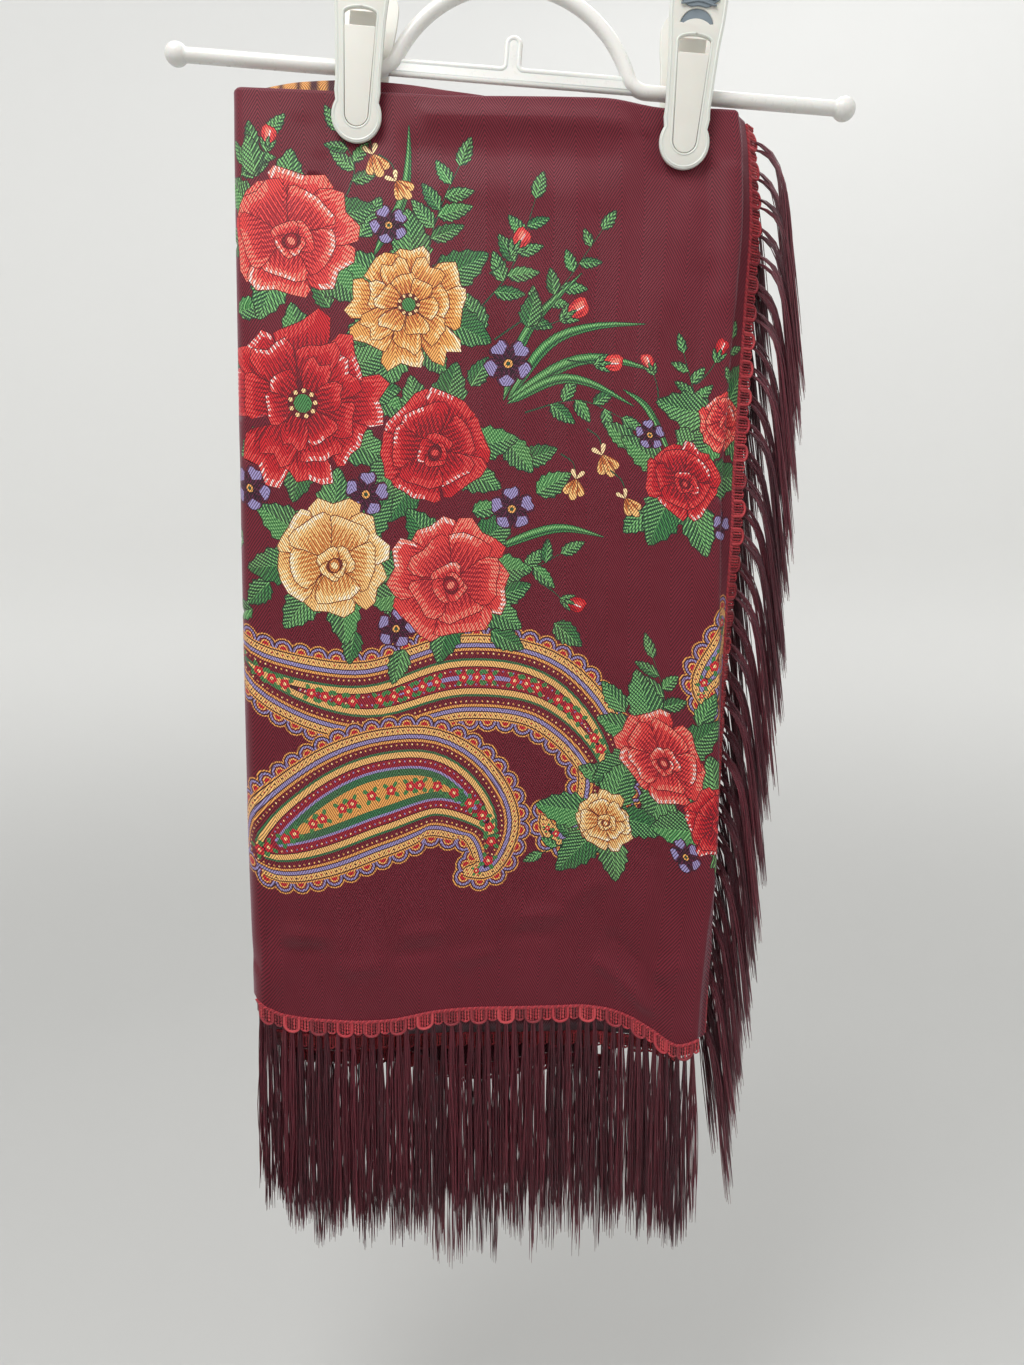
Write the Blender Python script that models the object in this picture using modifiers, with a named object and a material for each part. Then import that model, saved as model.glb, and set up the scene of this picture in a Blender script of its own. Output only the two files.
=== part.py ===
"""Square fringed shawl, folded three times and held by two clips on a hanger.

Metres, +Z up. The front faces -Y. The origin is the inside top of the hanger's hook.
The hanger leans about Y. The cloth hangs straight down from its clips.
"""

import math
import random

import bmesh
import bpy
from mathutils import Matrix, Vector

MM = 0.001
GAP = 0.3 * MM

# Hanger
HANGER_LEAN = math.radians(4.5)
ROD_DROP = 127.0 * MM
ROD_RADIUS = 4.0 * MM
KNOB_REACH = 185.4 * MM
KNOB_RADIUS = 6.4 * MM
ARCH_RADIUS = 69.5 * MM
ARCH_RISE = 50.8 * MM
ARCH_FOOT_RADIUS = 12.0 * MM
HOOK_RADIUS = 25.0 * MM
HOOK_TUBE = 3.9 * MM
HOOK_BEND = 10.0 * MM
HOOK_TIP_TURN = math.radians(205)
RAIL_ABOVE = 6.8 * MM
RAIL_BELOW = 1.5 * MM
RAIL_THICKNESS = 3.4 * MM
TAB_HALF_WIDTH = 4.4 * MM
TAB_RISE = 23.6 * MM
RAIL_FILLET = 3.0 * MM
EDGE_CHAMFER = 0.5 * MM
FOOT_RUN = 1.5 * MM
NECK_CLEAR = 2.5 * MM
NECK_STRAIGHT = 8.0 * MM
SADDLE_CUT_REACH = 12.0 * MM
ROD_FACETS = 14

# Clips, in a frame with its origin on the rod's axis
CLIP_PLACES = {"left": -82.5 * MM, "right": 97.5 * MM}
CLIP_TOP = 57.0 * MM
CLIP_BOTTOM = 42.5 * MM
LEVER_SPREAD = math.radians(7.0)
LEVER_THICKNESS = 3.2 * MM
JAW_REACH = 5.8 * MM
BULB_RADIUS = 13.8 * MM
SLOT_TOP_HALF = 8.4 * MM
SLOT_BOTTOM_HALF = 6.3 * MM
SLOT_CEILING = 24.0 * MM
TONGUE_TOP = 15.5 * MM
TONGUE_THICKNESS = 2.6 * MM
SADDLE_WIDTH = 15.0 * MM
SADDLE_FLOOR = -5.9 * MM
SADDLE_CEILING = 27.0 * MM
SADDLE_NECK = 6.6 * MM
SADDLE_BORE = 4.75 * MM
PAD_THICKNESS = 1.0 * MM
PAD_CHAMFER = 0.2 * MM
PAD_HEAD = (CLIP_TOP - 15.6 * MM, 12.0 * MM, 50)
PAD_FOOT = (53.5 * MM, 16.5 * MM, 42)
SLOT_CROWN = 3.0 * MM
TONGUE_CORNER = 0.6 * MM
CRESCENT_UPPER = (27.6 * MM, 9.2 * MM, 76)
CRESCENT_LOWER = (20.4 * MM, 11.6 * MM, 38)
CROWN_START = 12
JAW_LEAD = 14
SADDLE_REVEAL = 0.5 * MM
SADDLE_SHOULDER = 1.5 * MM

# Outline of a lever above and below the rod's axis
LEVER_COLUMNS = ("height", "half_width")
LEVER_ROWS = (
    (-19.0 * MM, 12.9 * MM),
    (-12.0 * MM, 12.4 * MM),
    (0.0 * MM, 12.9 * MM),
    (18.0 * MM, 13.8 * MM),
    (34.0 * MM, 15.3 * MM),
    (44.0 * MM, 15.6 * MM),
)

# Cloth
CLOTH = 1.2 * MM
BRAID_WIDTH = 10.4 * MM
BRAID_THICKNESS = 2.0 * MM
TOP_CURL = 2.6 * MM
TOP_CURL_TURNS = (35, 70, 100)
MARGIN = 9.0 * MM
CREASE_SET_BACK = 0.6 * MM
PLEAT_RADIUS = 2.5 * MM
PLEAT_SHARE = 0.7
BACK_SHARE = 0.34
END_CURL_SHARE = 0.38
CREST_LEVEL = -0.140
HEM_LEVEL = -0.655

# Where a clip pinches the cloth
PINCH_DEPTH = 5.1 * MM
PINCH_ACROSS = 24.0 * MM
PINCH_HEIGHT = 32.0 * MM
PINCH_FIRMNESS = 1.5

# Upright run of the cloth: left fold, pleat, turned margin and half the thickness of the stack
SIDE_COLUMNS = ("height", "left", "crease", "pleat", "fold_at", "fold_angle", "half_depth")
SIDE_ROWS = (
    (-0.672, -0.1632, 0.1005, 0.0012, 0.0062, 112, 0.0102),
    (-0.650, -0.1637, 0.1015, 0.0016, 0.0058, 108, 0.0105),
    (-0.610, -0.1642, 0.1050, 0.0022, 0.0035, 100, 0.0110),
    (-0.570, -0.1648, 0.1095, 0.0028, 0.0010, 90, 0.0112),
    (-0.530, -0.1651, 0.1105, 0.0034, 0.0000, 78, 0.0110),
    (-0.470, -0.1652, 0.1098, 0.0042, 0.0000, 66, 0.0108),
    (-0.413, -0.1652, 0.1093, 0.0050, 0.0000, 49, 0.0104),
    (-0.357, -0.1650, 0.1092, 0.0056, 0.0000, 28, 0.0098),
    (-0.300, -0.1648, 0.1120, 0.0062, 0.0000, 30, 0.0092),
    (-0.245, -0.1645, 0.1155, 0.0068, 0.0000, 34, 0.0084),
    (-0.194, -0.1642, 0.1187, 0.0066, 0.0000, 40, 0.0074),
    (-0.165, -0.1640, 0.1180, 0.0050, 0.0000, 46, 0.0068),
    (-0.140, -0.1636, 0.1150, 0.0030, 0.0000, 50, 0.0060),
)

# Broad swells and hollows of the front and back: place, reach and rise
SWELL_COLUMNS = ("across", "across_reach", "height", "height_reach", "rise")
SWELL_ROWS = (
    (0.000, 0.075, -0.146, 0.012, 0.0015),
    (-0.030, 0.090, -0.500, 0.160, 0.0014),
    (0.066, 0.026, -0.645, 0.012, 0.0016),
    (0.058, 0.012, -0.215, 0.045, -0.0008),
)
RIPPLE_RISE = 0.9 * MM
RIPPLE_ACROSS = 38.0
RIPPLE_LEAN = 5.0
HEM_WAVE_RISE = 1.3 * MM
HEM_WAVE_ACROSS = 70.0
HEM_WAVE_PHASE = 1.1
HEM_WAVE_LEVEL = -0.640
HEM_WAVE_REACH = 35.0 * MM

# Crest of the front layer
TOP_COLUMNS = ("across", "height")
TOP_ROWS = (
    (-0.165, -0.1310),
    (-0.125, -0.1325),
    (-0.080, -0.1338),
    (-0.043, -0.1362),
    (-0.005, -0.1366),
    (0.040, -0.1372),
    (0.075, -0.1420),
    (0.095, -0.1422),
    (0.118, -0.1440),
    (0.135, -0.1490),
)

# How far the next folded layer stands above the front one
SECOND_COLUMNS = ("across", "rise")
SECOND_ROWS = (
    (-0.165, -0.0030),
    (-0.150, 0.0005),
    (-0.125, 0.0055),
    (-0.100, 0.0072),
    (-0.065, 0.0060),
    (-0.030, 0.0025),
    (0.000, -0.0020),
    (0.060, -0.0035),
    (0.130, -0.0060),
)

# Middle of the braid along each hem
HEM_COLUMNS = ("across", "height")
FRONT_HEM_ROWS = (
    (-0.1650, -0.6485),
    (-0.1600, -0.6530),
    (-0.1430, -0.6622),
    (-0.1240, -0.6652),
    (-0.1050, -0.6659),
    (-0.0840, -0.6646),
    (-0.0520, -0.6588),
    (-0.0210, -0.6567),
    (0.0110, -0.6558),
    (0.0270, -0.6558),
    (0.0440, -0.6576),
    (0.0590, -0.6625),
    (0.0730, -0.6704),
    (0.0900, -0.6800),
    (0.1050, -0.6745),
    (0.1130, -0.6690),
)
BACK_HEM_ROWS = (
    (-0.1650, -0.6485),
    (-0.1520, -0.6560),
    (-0.1250, -0.6690),
    (-0.0900, -0.6735),
    (-0.0500, -0.6690),
    (-0.0100, -0.6705),
    (0.0300, -0.6760),
    (0.0650, -0.6720),
    (0.1150, -0.6660),
)
SECOND_HEM_ROWS = (
    (-0.1600, -0.6715),
    (-0.1150, -0.6765),
    (-0.0450, -0.6745),
    (0.0250, -0.6735),
    (0.0700, -0.6775),
    (0.1000, -0.6900),
)
THIRD_HEM_ROWS = (
    (-0.1600, -0.6850),
    (-0.1150, -0.6890),
    (-0.0850, -0.6865),
    (-0.0400, -0.6980),
    (0.0200, -0.6900),
    (0.0900, -0.6960),
)

# Back edge of the part that is folded behind
BEHIND_EDGE_TOP = 63.0 * MM
BEHIND_EDGE_BOTTOM = 56.0 * MM
STRIP_LAP = 12.0 * MM
STRIP_SET_BACK = 6.0 * MM

# Block of hidden layers inside the outer wall
LAYER_CLEAR = CLOTH + 1.0 * MM
LAYER_TUCK = 2.2 * MM
LAYER_ROUNDING = 0.93
LAYER_STEP_LEFT = 28.0 * MM
LAYER_STEP_RIGHT = 16.0 * MM
LAYER_SET_BACK = 10.0 * MM
LAYER_END_GROOVE = 1.6 * MM
LAYER_TOP_GROOVE = 3.2 * MM
LAYER_FOOT_GROOVE = 2.0 * MM
LAYER_FOOT_CLEAR = 0.3 * MM
LAYER_BEHIND_RISE = 0.5
STRIP_CLEAR = 0.7 * MM
SECOND_HEM_DEPTH = -4.4 * MM
THIRD_HEM_DEPTH = 1.2 * MM

# Fringe
BUNDLE_PITCH = 15.9 * MM
FRINGE_LENGTH = 118.0 * MM
ROOT_RADIUS = 1.1 * MM
LOCK_RADIUS = 1.9 * MM
TIP_RADIUS = 0.6 * MM
LOCK_SPREAD = 4.6 * MM
ROOT_SPREAD = 0.62
LOCK_SWAY = 1.0 * MM
LOCK_LENGTHS = (0.86, 1.03)
SIDE_LOCK_RADIUS = 1.5 * MM
SIDE_NECK_RADIUS = 1.3 * MM
SIDE_LOCK_LENGTHS = (0.84, 1.0)
SIDE_ROOT_PITCH = 4.4 * MM
SIDE_ROOT_DEPTH = 1.6 * MM
ARCH_OUT = 10.0 * MM
ARCH_DROP = 9.0 * MM
DRIFT = 0.12
STRIP_END = 2.0 * MM
BRAID_FRONT = 0.4 * MM
BRAID_BACK = -1.6 * MM
BACK_BRAID_TURN = 60
FRONT_SLOTS = (-4.0 * MM, -0.5 * MM, 3.0 * MM, 6.5 * MM)
BACK_SLOTS = (15.0 * MM, 18.5 * MM)

# Locks: how far down, how far spread from the root, and how thick
HEM_LOCK_COLUMNS = ("share", "opened", "radius")
HEM_LOCK_ROWS = (
    (-0.035, 0.0, ROOT_RADIUS),
    (0.10, 0.5, ROOT_RADIUS),
    (0.45, 1.0, LOCK_RADIUS),
    (1.0, 1.1, TIP_RADIUS),
)
SIDE_LOCK_COLUMNS = ("share", "turned", "radius")
SIDE_LOCK_ROWS = (
    (0.06, 0.55, ROOT_RADIUS),
    (0.20, 1.0, SIDE_NECK_RADIUS),
    (0.50, 1.0, SIDE_LOCK_RADIUS),
    (1.0, 1.0, TIP_RADIUS),
)

# Grid sizes
FRONT_STEPS = 15
BACK_STEPS = 9
ROW_STEPS = 12
ROW_CROWDING = 0.10
STRIP_STEPS = 3
STRIP_FOOT = -0.664
STRIP_HEAD = -0.142
LAYER_LEFT = 10
LAYER_ACROSS = 15
LAYER_UP = 11
LAYER_DEEP = 8
LAYER_MIDDLE = (4, 5)
TUBE_SIDES = 2

COLOURS = {
    "white_plastic": ((0.80, 0.79, 0.76, 1.0), 0.38),
    "grey_rubber": ((0.20, 0.24, 0.29, 1.0), 0.65),
    "burgundy_cloth": ((0.17, 0.016, 0.032, 1.0), 0.60),
    "crimson_braid": ((0.36, 0.035, 0.055, 1.0), 0.50),
    "plum_fringe": ((0.10, 0.012, 0.030, 1.0), 0.45),
}


def clear_scene():
    for old in list(bpy.data.objects):
        bpy.data.objects.remove(old, do_unlink=True)


def material(name):
    found = bpy.data.materials.get(name)
    if found:
        return found
    colour, roughness = COLOURS[name]
    made = bpy.data.materials.new(name)
    made.use_nodes = True
    shader = made.node_tree.nodes["Principled BSDF"]
    shader.inputs["Base Color"].default_value = colour
    shader.inputs["Roughness"].default_value = roughness
    shader.inputs["Metallic"].default_value = 0.0
    return made


def add(name, data, finish, parent=None):
    made = bpy.data.objects.new(name, data)
    PARTS.objects.link(made)
    made.data.materials.append(material(finish))
    made.parent = parent
    return made


def curve_rows(rows, column, at):
    """Value of a column at a place along the table's first column, on a smooth curve."""
    count = len(rows)
    if at <= rows[0][0]:
        return rows[0][column]
    if at >= rows[-1][0]:
        return rows[-1][column]
    k = max(i for i in range(count - 1) if rows[i][0] <= at)
    x0, x1 = rows[k][0], rows[k + 1][0]
    y0, y1 = rows[k][column], rows[k + 1][column]
    span = x1 - x0
    slope = (y1 - y0) / span
    before = (y0 - rows[k - 1][column]) / (x0 - rows[k - 1][0]) if k else slope
    after = (rows[k + 2][column] - y1) / (rows[k + 2][0] - x1) if k + 2 < count else slope
    m0 = 0.0 if before * slope <= 0 else 2 * before * slope / (before + slope)
    m1 = 0.0 if after * slope <= 0 else 2 * after * slope / (after + slope)
    t = (at - x0) / span
    smooth = (2 * t**3 - 3 * t**2 + 1) * y0 + (3 * t**2 - 2 * t**3) * y1
    return smooth + ((t**3 - 2 * t**2 + t) * m0 + (t**3 - t**2) * m1) * span


def side(column, height):
    return curve_rows(SIDE_ROWS, SIDE_COLUMNS.index(column), height)


def hem_line(rows, across):
    return curve_rows(rows, HEM_COLUMNS.index("height"), across)


def second_rise(across):
    return curve_rows(SECOND_ROWS, SECOND_COLUMNS.index("rise"), across)


def crowded(share):
    """A share of a height, with its steps closer together towards both ends."""
    return share - ROW_CROWDING * math.sin(2 * math.pi * share)


def ease(low, high, at):
    t = min(max((at - low) / (high - low), 0.0), 1.0)
    return t * t * (3 - 2 * t)


def bump(at, centre, width):
    return math.exp(-(((at - centre) / width) ** 2))


def arc(centre, radius, start, end, steps):
    """Points round a centre, from one angle in degrees to another."""
    points = []
    for i in range(steps + 1):
        turn = math.radians(start + (end - start) * i / steps)
        points.append((centre[0] + radius * math.cos(turn), centre[1] + radius * math.sin(turn)))
    return points


def mesh_object(name, points, faces, finish, parent=None):
    mesh = bpy.data.meshes.new(name)
    mesh.from_pydata([tuple(p) for p in points], [], faces)
    mesh.update()
    return add(name, mesh, finish, parent)


def outline_object(name, outlines, thickness, finish, parent=None, chamfer=0.0):
    """A flat piece cut to closed outlines, the first outside and the rest holes."""
    curve = bpy.data.curves.new(name, "CURVE")
    curve.dimensions = "2D"
    curve.fill_mode = "BOTH"
    curve.extrude = thickness / 2 - chamfer
    curve.bevel_depth = chamfer
    curve.bevel_resolution = 0
    curve.offset = -chamfer
    for outline in outlines:
        spline = curve.splines.new("POLY")
        spline.points.add(len(outline) - 1)
        spline.use_cyclic_u = True
        for point, (x, z) in zip(spline.points, outline):
            point.co = (x, z, 0, 1)
    return add(name, curve, finish, parent)


def tube_object(name, points, radius, finish, parent=None, sides=TUBE_SIDES):
    curve = bpy.data.curves.new(name, "CURVE")
    curve.dimensions = "3D"
    curve.bevel_depth = radius
    curve.bevel_resolution = sides
    curve.use_fill_caps = True
    spline = curve.splines.new("POLY")
    spline.points.add(len(points) - 1)
    for point, place in zip(spline.points, points):
        point.co = (*place, 1)
    return add(name, curve, finish, parent)


def as_mesh(curve_piece):
    """The same piece as a closed mesh, so that it can be cut or joined."""
    bpy.context.view_layer.update()
    graph = bpy.context.evaluated_depsgraph_get()
    mesh = bpy.data.meshes.new_from_object(curve_piece.evaluated_get(graph))
    work = bmesh.new()
    work.from_mesh(mesh)
    bmesh.ops.remove_doubles(work, verts=work.verts, dist=0.00001)
    work.to_mesh(mesh)
    work.free()
    name, finish, parent = curve_piece.name, curve_piece.data.materials[0].name, curve_piece.parent
    local = curve_piece.matrix_basis.copy()
    bpy.data.objects.remove(curve_piece, do_unlink=True)
    mesh.materials.clear()
    made = add(name, mesh, finish, parent)
    made.matrix_basis = local
    return made


def cut(piece, cutter):
    cutter.hide_render = True
    cutter.display_type = "WIRE"
    PARTS.objects.unlink(cutter)
    CUTTERS.objects.link(cutter)
    step = piece.modifiers.new("cut", "BOOLEAN")
    step.operation = "DIFFERENCE"
    step.object = cutter
    step.solver = "EXACT"


def join(piece, other):
    other.hide_render = True
    other.display_type = "WIRE"
    PARTS.objects.unlink(other)
    CUTTERS.objects.link(other)
    step = piece.modifiers.new("join", "BOOLEAN")
    step.operation = "UNION"
    step.object = other
    step.solver = "EXACT"


# Hanger


def arch_foot():
    """Distance of the foot bend's centre from the middle of the hanger."""
    arch_centre_drop = ARCH_RADIUS - ARCH_RISE
    reach = ARCH_RADIUS + ARCH_FOOT_RADIUS
    height = arch_centre_drop + ARCH_FOOT_RADIUS
    return math.sqrt(reach**2 - height**2), math.degrees(math.atan2(height, math.sqrt(reach**2 - height**2)))


def arch_route():
    """Centre line of the arch, from the left foot over the top to the right foot."""
    foot, lean = arch_foot()
    arch_centre = (0.0, -ROD_DROP + ARCH_RISE - ARCH_RADIUS)
    foot_centre = (foot, -ROD_DROP + ARCH_FOOT_RADIUS)
    right = arc(arch_centre, ARCH_RADIUS, 90, lean, 12)[1:]
    right += arc(foot_centre, ARCH_FOOT_RADIUS, 180 + lean, 270, 6)[1:]
    right.append((foot + FOOT_RUN, -ROD_DROP))
    left = [(-x, z) for x, z in reversed(right)]
    return left + [(0.0, arch_centre[1] + ARCH_RADIUS)] + right


def make_arch(parent):
    route = [Vector((x, 0, z)) for x, z in arch_route()]
    tube_object("hanger_arch", route, ROD_RADIUS, "white_plastic", parent)


def make_rods(parent):
    foot, _ = arch_foot()
    inner = foot + FOOT_RUN + GAP
    length = KNOB_REACH - inner
    join_turn = math.degrees(math.asin(ROD_RADIUS / KNOB_RADIUS))
    knob = arc((0, length), KNOB_RADIUS, 90, -90 + join_turn, 7)
    profile = [(0, length + KNOB_RADIUS)] + knob[1:] + [(ROD_RADIUS, 0), (0, 0)]
    for name, sign in (("left", -1), ("right", 1)):
        points = [(x, 0, z) for x, z in profile]
        edges = [(i, i + 1) for i in range(len(points) - 1)]
        mesh = bpy.data.meshes.new(f"hanger_rod_{name}")
        mesh.from_pydata(points, edges, [])
        rod = add(f"hanger_rod_{name}", mesh, "white_plastic", parent)
        turned = rod.modifiers.new("turned", "SCREW")
        turned.steps = ROD_FACETS
        turned.render_steps = ROD_FACETS
        turned.use_merge_vertices = True
        turned.merge_threshold = 0.00001
        turned.use_smooth_shade = True
        rod.location = (sign * inner, 0, -ROD_DROP)
        rod.rotation_euler = (0, sign * math.pi / 2, 0)


def make_rail(parent):
    """The flat bar under the arch, with its upright tab."""
    foot, _ = arch_foot()
    top = -ROD_DROP + RAIL_ABOVE
    bottom = -ROD_DROP - RAIL_BELOW
    bend = (foot, -ROD_DROP + ARCH_FOOT_RADIUS)
    clear = ARCH_FOOT_RADIUS + ROD_RADIUS + GAP
    top_turn = 180 + math.degrees(math.asin((bend[1] - top) / clear))
    bottom_turn = 180 + math.degrees(math.asin((bend[1] - bottom) / clear))
    tip = -ROD_DROP + TAB_RISE
    right = arc((0, tip - TAB_HALF_WIDTH), TAB_HALF_WIDTH, 90, 0, 5)
    right += arc((TAB_HALF_WIDTH + RAIL_FILLET, top + RAIL_FILLET), RAIL_FILLET, 180, 270, 4)
    right += arc(bend, clear, top_turn, bottom_turn, 4)
    left = [(-x, z) for x, z in reversed(right[1:])]
    rail = outline_object("hanger_rail", [right + left], RAIL_THICKNESS, "white_plastic", parent, EDGE_CHAMFER)
    rail.rotation_euler = (math.pi / 2, 0, 0)


def hook_route():
    """Centre line of the hook, from the foot of its neck to its open tip."""
    centre = (0.0, HOOK_TUBE - HOOK_RADIUS)
    reach = HOOK_RADIUS + HOOK_BEND
    bend_drop = math.sqrt(reach**2 - HOOK_BEND**2)
    bend_centre = (HOOK_BEND, centre[1] - bend_drop)
    meet = math.degrees(math.atan2(-bend_drop, HOOK_BEND))
    neck_foot = (0.0, -ROD_DROP + ARCH_RISE + NECK_CLEAR)
    neck = [neck_foot, (0.0, bend_centre[1] - NECK_STRAIGHT)]
    neck += arc(bend_centre, HOOK_BEND, 180, 180 + meet, 5)
    return neck + arc(centre, HOOK_RADIUS, meet, math.degrees(HOOK_TIP_TURN), 22)[1:]


def make_hook(parent):
    route = [Vector((x, 0, z)) for x, z in hook_route()]
    hook = as_mesh(tube_object("hanger_hook", route, HOOK_TUBE, "white_plastic", parent))
    crown = -ROD_DROP + ARCH_RISE
    saddle = [Vector((x, 0, crown)) for x in (-SADDLE_CUT_REACH, SADDLE_CUT_REACH)]
    saddle_cut = as_mesh(tube_object("hook_saddle_cut", saddle, ROD_RADIUS + GAP, "white_plastic", parent))
    cut(hook, saddle_cut)


# Clips


def lever_outline():
    """Right and left sides of a lever, from its finger end down round its jaw and back."""
    bulb = -CLIP_BOTTOM + BULB_RADIUS
    rows = [dict(zip(LEVER_COLUMNS, row)) for row in reversed(LEVER_ROWS)]
    sides = [(row["half_width"], row["height"]) for row in rows]
    crown_radius = rows[0]["half_width"]
    crown = arc((0, CLIP_TOP - crown_radius), crown_radius, 90, CROWN_START, 4)
    jaw_start = math.degrees(math.asin((rows[-1]["height"] - bulb) / BULB_RADIUS))
    jaw = arc((0, bulb), BULB_RADIUS, jaw_start - JAW_LEAD, -90, 5)
    right = crown + sides[:-1] + jaw
    return right + [(-x, z) for x, z in reversed(right[1:-1])]


def tongue_outline(clear, ceiling, arched):
    """The plate in the lever's slot, or the slot itself with its clearance."""
    bulb = -CLIP_BOTTOM + BULB_RADIUS + 1.0 * MM
    bottom = SLOT_BOTTOM_HALF + clear
    top = SLOT_TOP_HALF + clear
    floor = arc((0, bulb), bottom, 0, -90, 4)
    if arched:
        spring = ceiling - SLOT_CROWN
        head = [(x * top, spring + z * SLOT_CROWN) for x, z in arc((0, 0), 1.0, 90, 0, 3)]
    else:
        head = [(0, ceiling), (top - TONGUE_CORNER, ceiling), (top, ceiling - TONGUE_CORNER)]
    right = head + floor
    return right + [(-x, z) for x, z in reversed(right[1:-1])]


def crescent_outline():
    height, radius, spread = CRESCENT_UPPER
    upper = arc((0, height), radius, 90 - spread, 90 + spread, 7)
    height, radius, spread = CRESCENT_LOWER
    return upper + arc((0, height), radius, 90 + spread, 90 - spread, 4)


def pad_outline():
    height, radius, spread = PAD_HEAD
    head = arc((0, height), radius, 90 + spread, 90 - spread, 6)
    height, radius, spread = PAD_FOOT
    return head + arc((0, height), radius, spread - 90, -90 - spread, 6)


def lever_matrix(front):
    """Turns a flat outline upright, leans it by the spread and seats its jaw."""
    flat_to_upright = Matrix.Rotation(math.pi / 2, 4, "X")
    lean = Matrix.Rotation(LEVER_SPREAD, 4, "X")
    jaw = Matrix.Translation((0, -JAW_REACH - LEVER_THICKNESS / 2, -CLIP_BOTTOM))
    up = Matrix.Translation((0, 0, CLIP_BOTTOM))
    placed = jaw @ lean @ up @ flat_to_upright
    return placed if front else Matrix.Rotation(math.pi, 4, "Z") @ placed


def make_saddle(name, parent):
    """The block between the levers, with the hole for the rod along its width."""
    slope = math.tan(LEVER_SPREAD)
    lever_at_rod = JAW_REACH + CLIP_BOTTOM * slope
    low = lever_at_rod + SADDLE_FLOOR * slope - SADDLE_REVEAL
    high = lever_at_rod + TONGUE_TOP * slope - SADDLE_REVEAL
    right = [
        (low, SADDLE_FLOOR),
        (high, TONGUE_TOP),
        (SADDLE_NECK, TONGUE_TOP + SADDLE_SHOULDER),
        (SADDLE_NECK, SADDLE_CEILING),
    ]
    outline = right + [(-y, z) for y, z in reversed(right)]
    bore = arc((0, 0), SADDLE_BORE, 0, 337.5, 15)
    saddle = outline_object(f"clip_{name}_saddle", [outline, bore], SADDLE_WIDTH, "white_plastic", parent)
    saddle.rotation_euler = (math.pi / 2, 0, math.pi / 2)


def make_clip(name, place, hanger):
    clip = bpy.data.objects.new(f"clip_{name}_frame", None)
    PARTS.objects.link(clip)
    clip.parent = hanger
    clip.location = (place, 0, -ROD_DROP)
    make_saddle(name, clip)
    for face, front in (("front", True), ("back", False)):
        seat = lever_matrix(front)
        holes = [tongue_outline(GAP, SLOT_CEILING, True), crescent_outline()]
        outlines = [lever_outline(), *holes]
        stem = f"clip_{name}_{face}"
        lever = outline_object(f"{stem}_lever", outlines, LEVER_THICKNESS, "white_plastic", clip, EDGE_CHAMFER)
        lever.matrix_basis = seat
        plate = [tongue_outline(0.0, TONGUE_TOP, False)]
        tongue = outline_object(f"{stem}_tongue", plate, TONGUE_THICKNESS, "white_plastic", clip)
        inward = Matrix.Translation((0, 0, -(LEVER_THICKNESS - TONGUE_THICKNESS) / 2))
        tongue.matrix_basis = seat @ inward
        pad = outline_object(f"{stem}_pad", [pad_outline()], PAD_THICKNESS, "grey_rubber", clip, PAD_CHAMFER)
        outward = Matrix.Translation((0, 0, (LEVER_THICKNESS + PAD_THICKNESS) / 2 + GAP))
        pad.matrix_basis = seat @ outward


# Shape of the cloth


def clip_centres():
    """Where each clip pinches the cloth, in the picture plane."""
    turn = Matrix.Rotation(HANGER_LEAN, 4, "Y")
    drop = -ROD_DROP - CLIP_BOTTOM + BULB_RADIUS
    return [turn @ Vector((place, 0, drop)) for place in CLIP_PLACES.values()]


def pinch(across, height):
    """0 where the cloth hangs free, 1 under a clip."""
    held = 0.0
    for clip in clip_centres():
        near = bump(across, clip.x, PINCH_ACROSS) * bump(height, clip.z, PINCH_HEIGHT)
        held = max(held, PINCH_FIRMNESS * near)
    return min(held, 1.0)


def half_depth(across, height):
    """Distance from the middle of the stack to its front."""
    loose = side("half_depth", height)
    for row in SWELL_ROWS:
        swell = dict(zip(SWELL_COLUMNS, row))
        near = bump(across, swell["across"], swell["across_reach"])
        loose += swell["rise"] * near * bump(height, swell["height"], swell["height_reach"])
    hanging = ease(-0.20, -0.42, height)
    loose += RIPPLE_RISE * math.sin(RIPPLE_ACROSS * across + RIPPLE_LEAN * height) * hanging
    hem_wave = math.sin(HEM_WAVE_ACROSS * across + HEM_WAVE_PHASE)
    loose += HEM_WAVE_RISE * bump(height, HEM_WAVE_LEVEL, HEM_WAVE_REACH) * hem_wave
    held = pinch(across, height)
    return loose * (1 - held) + PINCH_DEPTH * held


def front_crest(across):
    return curve_rows(TOP_ROWS, TOP_COLUMNS.index("height"), across)


def behind_edge(height):
    share = (height - HEM_LEVEL) / (CREST_LEVEL - HEM_LEVEL)
    return BEHIND_EDGE_BOTTOM + (BEHIND_EDGE_TOP - BEHIND_EDGE_BOTTOM) * share


def margin_point(height, reach, offset=0.0):
    """A plan point on the turned margin past the pleat, at a distance along the cloth."""
    crease = side("crease", height)
    start_y = -half_depth(crease, height) + side("pleat", height)
    fold_at = side("fold_at", height)
    angle = math.radians(side("fold_angle", height))
    flat = min(reach, fold_at)
    past = reach - flat
    x = crease - CREASE_SET_BACK + flat + past * math.cos(angle)
    y = start_y + past * math.sin(angle)
    normal = (math.sin(angle), -math.cos(angle)) if past > 0 else (0.0, -1.0)
    return x + normal[0] * offset, y + normal[1] * offset


def front_stations():
    """Columns of the outer wall, from the braided side edge round the left fold to the back."""
    stations = [("margin", share) for share in (1.0, 0.7, 0.35, 0.0)]
    stations += [("pleat", turn) for turn in (90, 45, 0)]
    stations += [("front", 1 - (i + 1) / FRONT_STEPS) for i in range(FRONT_STEPS)]
    stations += [("fold", turn) for turn in (45, 90, 135)]
    stations += [("back", i / BACK_STEPS) for i in range(BACK_STEPS + 1)]
    stations += [("end", turn) for turn in (45, 90)]
    return stations


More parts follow.
